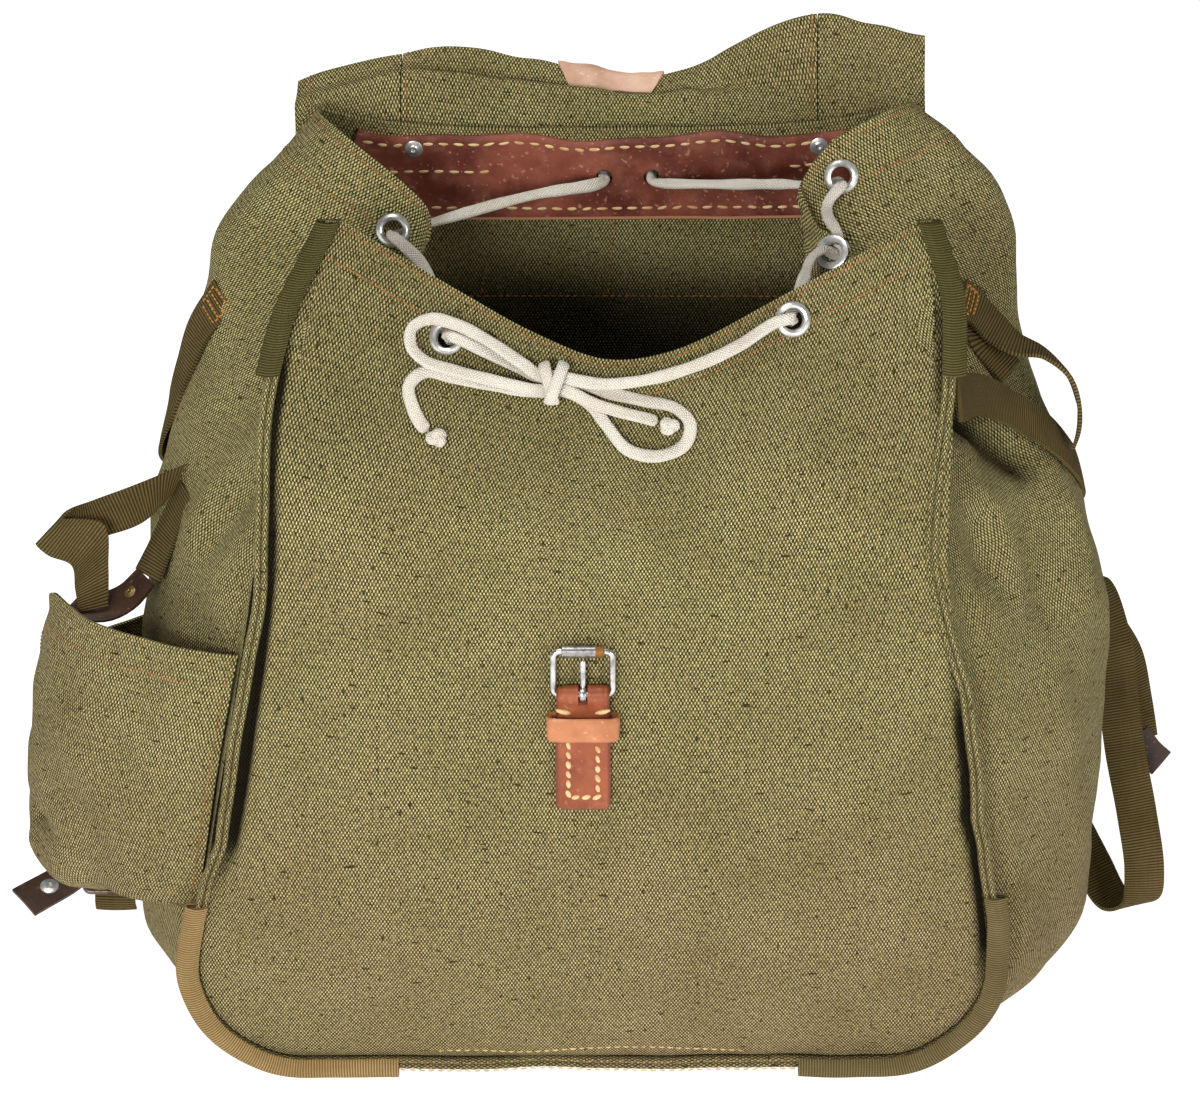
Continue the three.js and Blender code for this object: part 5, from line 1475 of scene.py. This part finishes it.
SIDE_STRAP_RIGHT = [
    (166.7, -77.2, 341, 0.78, -0.55, 0.3), (180, -40, 328, 0.7, -0.55, 0.45),
    (196, -21, 314, 0.68, -0.46, 0.58), (220, -6, 292, 0.8, -0.3, 0.52),
    (233.5, 10, 270, 0.97, 0, 0.25), (230.5, 36, 247, 0.86, 0.48, 0.15),
    (214.2, 63.8, 230, 0.74, 0.66, 0.05), (195, 81, 222, 0.7, 0.7, 0),
]
SIDE_LOOP_RIGHT = [
    (174.8, 7.3, 357.5, 0.5, -0.62, 0.6), (182.3, 9.4, 350.6, 0.63, -0.5, 0.59),
    (191.2, 9.4, 340.9, 0.63, -0.5, 0.59), (201, 7.4, 333.8, 0.5, -0.2, 0.8),
    (214, 5, 330.5, 0.45, 0.1, 0.85), (226, 1, 320, 0.9, 0.1, 0.4),
    (231, 0, 303, 1, -0.05, 0.05), (231, 4, 288, 1, -0.3, 0.1),
]
SIDE_STRAP_LEFT = [
    (-167.4, 27, 350.9, -0.55, -0.7, 0.45), (-179.4, 28.1, 333.9, -0.68, -0.5, 0.54),
    (-187.4, 26.5, 316, -0.84, -0.35, 0.42), (-194, 26, 296, -0.94, -0.2, 0.28),
    (-199.4, 33, 278.5, -0.97, 0.1, 0.2), (-194, 56.6, 260, -0.88, 0.45, 0.1),
    (-180.8, 77.5, 250, -0.84, 0.54, 0.03),
]
POCKET_STRAP_LOWER = [
    (-182.2, -30.8, 275.8, -0.75, -0.46, 0.47), (-190, -31, 261.5, -0.8, -0.42, 0.42),
    (-197, -34, 246, -0.75, -0.45, 0.5), (-202, -38, 236.5, -0.6, -0.45, 0.66),
]
POCKET_TAB = [
    (-202.4, -38.4, 236, -0.55, -0.45, 0.7), (-211, -42, 227.6, -0.3, -0.5, 0.8),
    (-221, -43.5, 223.4, -0.1, -0.55, 0.82), (-229, -42.5, 223.6, 0.15, -0.55, 0.82),
    (-234.5, -40, 226, 0.25, -0.5, 0.8),
]
SHOULDER_RIGHT = [
    (38, 94.7, 366, 0, 1, 0), (62, 98, 328, 0, 1, 0), (98, 100.5, 280, 0, 1, 0),
    (145, 101.5, 238, 0.05, 1, 0), (195, 100, 210, 0.3, 0.95, 0), (232, 84, 199, 0.8, 0.6, 0),
    (253, 60, 188, 0.85, -0.5, 0.1), (261, 52, 159, 0.35, -0.9, 0.1),
    (265, 49, 130, 0.1, -0.97, 0.1),
    (270, 47, 100, 0.0, -0.98, 0.1), (277, 43, 68, 0.0, -0.98, 0.1), (282, 37, 38, 0.0, -0.98, 0),
    (281, 38, 19, 0.1, -0.6, -0.8), (270, 48, 13, 0, 0.2, -1), (259, 60, 28, -0.2, 0.8, -0.5),
    (243, 72, 52, 0.35, 0.9, -0.2), (220, 80, 68, 0.6, 0.78, 0), (195.5, 86.5, 77, 0.7, 0.72, 0),
]
SHOULDER_LEFT = [
    (4, 94.7, 366, 0, 1, 0), (-20, 98, 328, 0, 1, 0), (-60, 100.5, 280, 0, 1, 0),
    (-105, 101.5, 222, 0, 1, 0), (-145, 101.5, 160, 0, 1, 0), (-176, 100.5, 105, -0.1, 1, 0),
    (-203, 91, 72, -0.6, 0.8, 0), (-221, 66, 56, -0.95, 0.3, 0.1), (-229, 40, 50, -0.8, -0.1, 0.6),
    (-232, 18, 46.5, -0.3, -0.2, 0.93), (-232.4, 8, 42, 0, -0.75, 0.66),
    (-232.6, 6.4, 35, 0, -1, 0), (-232.6, 10, 30.5, 0, -0.7, -0.7),
]
STRAP_TAIL_RIGHT = [
    (254.4, 58.1, 172.85, 0.85, -0.5, 0.1), (262, 62, 158, 0.6, -0.75, 0.1),
    (271, 66.5, 140, 0.45, -0.87, 0.1),
    (276, 68, 116, 0.3, -0.95, 0.1), (279.6, 66.4, 96, 0.2, -0.95, 0.2),
]
STRAP_TIP_RIGHT = [
    (278, 65.2, 99, 0.2, -0.95, 0.2), (284, 63, 91, 0.15, -0.92, 0.3),
    (291, 61, 85, 0.1, -0.9, 0.4),
]
STRAP_TIP_LEFT = [
    (-226.8, 67.7, 51.3, -0.9, 0.1, 0.4), (-246, 50, 39, -0.5, -0.3, 0.8),
    (-263, 37, 31, -0.2, -0.5, 0.85), (-281, 22, 27, -0.1, -0.5, 0.86),
]
SEWN_END_RIGHT = [
    (177.4, 13.2, 355.2, 0.5, -0.68, 0.53), (183.3, 11, 344.8, 0.52, -0.66, 0.54),
    (186.2, 6.2, 336.8, 0.55, -0.6, 0.58), (192, 4.5, 329.6, 0.62, -0.53, 0.58),
    (198.2, 2.6, 321.4, 0.65, -0.47, 0.59),
]
LID_STRAP = [
    (0, 137.8, 345, 0, 1, 0.06), (0, 140.8, 262, 0, 1, 0.04),
    (0, 142, 200, 0, 1, 0.02), (0, 142.2, 130, 0, 1, 0),
]
STRAPS = [
    ("side_strap_right", SIDE_STRAP_RIGHT),
    ("side_loop_right", SIDE_LOOP_RIGHT),
    ("side_strap_left", SIDE_STRAP_LEFT),
    ("pocket_strap_lower", POCKET_STRAP_LOWER),
    ("pocket_tab", POCKET_TAB, STRAP_LEATHER, 16),
    ("shoulder_strap_right", SHOULDER_RIGHT),
    ("shoulder_strap_left", SHOULDER_LEFT),
    ("strap_tail_right", STRAP_TAIL_RIGHT),
    ("strap_tip_right", STRAP_TIP_RIGHT, STRAP_LEATHER, 15),
    ("strap_tip_left", STRAP_TIP_LEFT, STRAP_LEATHER),
    ("lid_strap", LID_STRAP, TAB_LEATHER, 24, LEATHER),
]
STRAP_FACES = {}
for node, rows, *style in STRAPS:
    STRAP_FACES[node] = ribbon(node + "_ribbon", [node], rows, *style)
ribbon("sewn_end_right", [], SEWN_END_RIGHT)

# The pocket strap is folded over on a slanting crease; each row gives its two edges
POCKET_STRAP = np.array([
    (-183.0, -25, 287.0, -189.5, -28.5, 273.5),
    (-208.5, -31, 278.3, -203.2, -33, 261.5),
    (-226.0, -34, 272.6, -219.3, -36, 256.3),
    (-236.0, -37, 269.4, -245.0, -38.5, 252.0),
    (-239.0, -40.5, 267.0, -251.5, -41.5, 254.0),
    (-232.0, -43.5, 268.0, -246.0, -44.5, 250.0),
    (-219.5, -45, 266.0, -235.5, -45.5, 245.5),
    (-218.6, -46, 244.0, -234.4, -46.5, 234.0),
    (-219.6, -46.5, 225.5, -233.2, -47, 222.5),
])


def folded_strap(u, v):
    near, far = smooth_line(POCKET_STRAP[:, :3], v), smooth_line(POCKET_STRAP[:, 3:], v)
    return lerp(near, far, u[:, None])


folded, _ = grid_piece("pocket_strap_ribbon", 10, 72, folded_strap, 1)
wall(folded, WEBBING, 0.0)
dress(folded, WEB, "pocket_strap", angle=50)

# Buckle of the left shoulder strap and the strap rivets
STRAP_BUCKLE = SimpleNamespace(
    at=np.array((-232.6, 5.2, 43)), width=29, height=17, corner=3, wire=1.5, turn=PI * 0.24
)
loop = rounded_loop(STRAP_BUCKLE.width, STRAP_BUCKLE.height, STRAP_BUCKLE.corner)
rise, lean = math.cos(STRAP_BUCKLE.turn), math.sin(STRAP_BUCKLE.turn)
loop = STRAP_BUCKLE.at + stack(loop[:, 0], loop[:, 1] * rise, loop[:, 1] * lean)
wire = ring_tube("strap_buckle_wire", loop, np.array((0, -lean, rise)), STRAP_BUCKLE.wire)
dress(wire, DARK_STEEL, "strap_buckle_left", slot="steel", angle=60)
rivet("pocket_rivet", STRAP_FACES["pocket_tab"], 0.5, 0.2, 0.3, 0.62, BRASS)
rivet("strap_rivet_left", STRAP_FACES["strap_tip_left"], 0.5, 0.78, 0.3, 1.0, NICKEL)

# Stitching: pitch, length and width of a row, and how far it lies off the face
HEM_ROW = (3.6, 2.9, 0.85)
SEAM_ROW = (3.6, 2.8, 0.8)
ON_CLOTH, ON_LEATHER = 0.12, 0.15


def row_below(surface, depth, start=0.01, end=0.99):
    """A row of stitches at a depth below a sheet's top edge."""
    u = np.linspace(start, end, 140)
    return surface.at(u, surface.below_top(u, depth), ON_CLOTH)


rim_rows = [row_below(FRONT, depth) for depth in (2.6, HEM - 1)]
stitches("rim_stitches", rim_rows, RUST_THREAD, "canvas", *HEM_ROW)
side_places = (0.09, STRIP_END - 0.09, 0.58, STRIP_END - 0.58)
side_u = np.linspace(0.02, 0.98, 160)
side_rows = [STRIP.at(side_u, place / STRIP_END, ON_CLOTH) for place in side_places]
stitches("side_rim_stitches", side_rows, RUST_THREAD, "canvas", *HEM_ROW)
BAND_ROWS = [
    (0.01, 0.99, 160, 0.1), (0.01, 0.99, 160, 0.86), (0.02, 0.27, 60, 0.43), (0.83, 0.98, 40, 0.36),
]
band_rows = [
    BAND_FACE.at(np.linspace(start, end, count), v, ON_LEATHER)
    for start, end, count, v in BAND_ROWS
]
stitches("band_stitches", band_rows, CREAM_THREAD, "band_leather", 7.2, 5.3, 1.5)
pocket_row = row_below(POCKET_FACE, 16, 0.04, 0.97)
stitches("pocket_stitches", [pocket_row], RUST_THREAD, "canvas", *HEM_ROW)
TAB_ROW = SimpleNamespace(side=6.6, top=-22.5, foot=-50.5)
leg = np.linspace(TAB_ROW.top, TAB_ROW.foot, 40)
tab_up = np.concatenate([leg, np.full(20, TAB_ROW.foot), leg[::-1]])
tab_side = np.interp(np.arange(100), (39, 40, 59, 60), (-1, -1, 1, 1)) * TAB_ROW.side
tab_row = (on_panel(tab_side, tab_up, TAB.face + 0.1), np.tile(panel_out, (100, 1)))
stitches("tab_stitches", [tab_row], CREAM_THREAD, "tab_leather", 4.8, 4.7, 2.1, 0.7, 0.3)
shoulder_rows = []
for hand in (-1, 1):
    y = np.linspace(-6.6, -9.4, 20)
    out = np.interp(y, TAB_COURSE[:6, 0], TAB_COURSE[:6, 1]) + 0.2
    at = on_panel(hand * np.linspace(12.4, 4.2, 20), y, out)
    shoulder_rows.append((at, np.tile(panel_out, (20, 1))))
stitches("shoulder_stitches", shoulder_rows, CREAM_THREAD, "tab_leather", 8.2, 8.4, 2.4, 0.9)
LID_ROWS = [
    ("lid_canvas", 0.012, 0.02, 0.98),
    ("lid_canvas", 0.988, 0.02, 0.98),
    ("lid_wing_left", 0.12, 0.05, 0.97),
]
lid_rows = [
    LIDS[name].at(u, np.linspace(start, end, 160), ON_CLOTH) for name, u, start, end in LID_ROWS
]
stitches("lid_stitches", lid_rows, RUST_THREAD, "canvas", *SEAM_ROW)
seam_at, seam_out, seam_face = seam_line("front", np.linspace(17.95, 22.2, 200))
seam_at += seam_out * 1.2 + seam_face * (WELT.thick / 2 - 0.1)
seam_row = (seam_at, np.tile(seam_face, (len(seam_at), 1)).astype(float))
stitches("bottom_stitches", [seam_row], CREAM_THREAD, "canvas", 4.4, 3.4, 0.9)


def box_rows(strap, start, end, first=0.14, last=0.86):
    """Stitches across and along a strap's sewn end."""
    surface, u, v = STRAP_FACES[strap], np.linspace(first, last, 12), np.linspace(start, end, 12)
    rows = [surface.at(u, place, ON_LEATHER) for place in np.linspace(start, end, 4)]
    return rows + [surface.at(edge, v, ON_LEATHER) for edge in (first, last)]


sewn_rows = box_rows("side_loop_right", 0.015, 0.12) + box_rows("side_strap_left", 0.01, 0.1)
stitches("strap_stitches", sewn_rows, GOLD_THREAD, "webbing", 2.6, 2.4, 0.9)
pocket_seam = POCKET_FACE.at(0.004, np.linspace(0.02, 0.97, 160), ON_CLOTH)
stitches("pocket_seam_stitches", [pocket_seam], RUST_THREAD, "canvas", *SEAM_ROW)
foot_u = np.linspace(0.26, 0.74, 200)
foot_rise = 10.2 - 2.4 * np.sin(PI * (foot_u - 0.26) / 0.48)
foot_down = FRONT.arc[-1, np.round(foot_u * FRONT_COLS).astype(int)] - foot_rise
foot_v = [FRONT.below_top(np.array([u]), down)[0] for u, down in zip(foot_u, foot_down)]
stitches("foot_stitches", [FRONT.at(foot_u, foot_v, 0.25)], CREAM_THREAD, "canvas", 4.2, 3.1, 0.8)
facing_rows = [(np.linspace(0.12, 0.92, 160), 0.192)]
facing_rows += [(u, np.linspace(0.104, 0.19, 40)) for u in (0.325, 0.51, 0.725)]
facing_rows = [BACK.at(u, v, -CANVAS - ON_CLOTH) for u, v in facing_rows]
facing_rows = [(at, -normals) for at, normals in facing_rows]
stitches("facing_stitches", facing_rows, RUST_THREAD, "canvas", *SEAM_ROW)

# Floor and light
FLOOR_SIZE, FLOOR_DROP = 120, 0.0004
bpy.ops.mesh.primitive_plane_add(size=FLOOR_SIZE, location=(0, 0, -FLOOR_DROP))
floor = bpy.context.object
floor.name = "studio_floor"
WHITE, GREY = (1, 1, 1, 1), (0.6, 0.6, 0.6, 1)
PAPER_GLOW, WORLD_GLOW = 0.9, 0.13
paper = Finish("studio_paper", Roughness=0.9, Base_Color=GREY)
paper.shade(Emission_Color=WHITE, Emission_Strength=PAPER_GLOW)
floor.data.materials.append(paper.material)
world = bpy.data.worlds.new("studio")
bpy.context.scene.world = world
world.use_nodes = True
background = world.node_tree.nodes["Background"].inputs
background["Color"].default_value = WHITE
background["Strength"].default_value = WORLD_GLOW
LIGHT_AIM = Vector((0, 0, 0.2))
LIGHTS = [
    ("key_softbox", (-0.75, -2.4, 0.94), 0.8, 39),
    ("fill_softbox", (1.7, -1.9, 0.8), 0.9, 17),
    ("top_softbox", (-0.35, -0.35, 2.3), 1.0, 17),
]
for name, place, size, power in LIGHTS:
    light = bpy.data.lights.new(name, "AREA")
    light.shape = "DISK"
    light.size = size
    light.energy = power
    lamp = bpy.data.objects.new(name, light)
    bpy.context.scene.collection.objects.link(lamp)
    lamp.location = place
    lamp.rotation_euler = (Vector(place) - LIGHT_AIM).to_track_quat("Z", "Y").to_euler()
bpy.context.scene.view_settings.view_transform = "Standard"
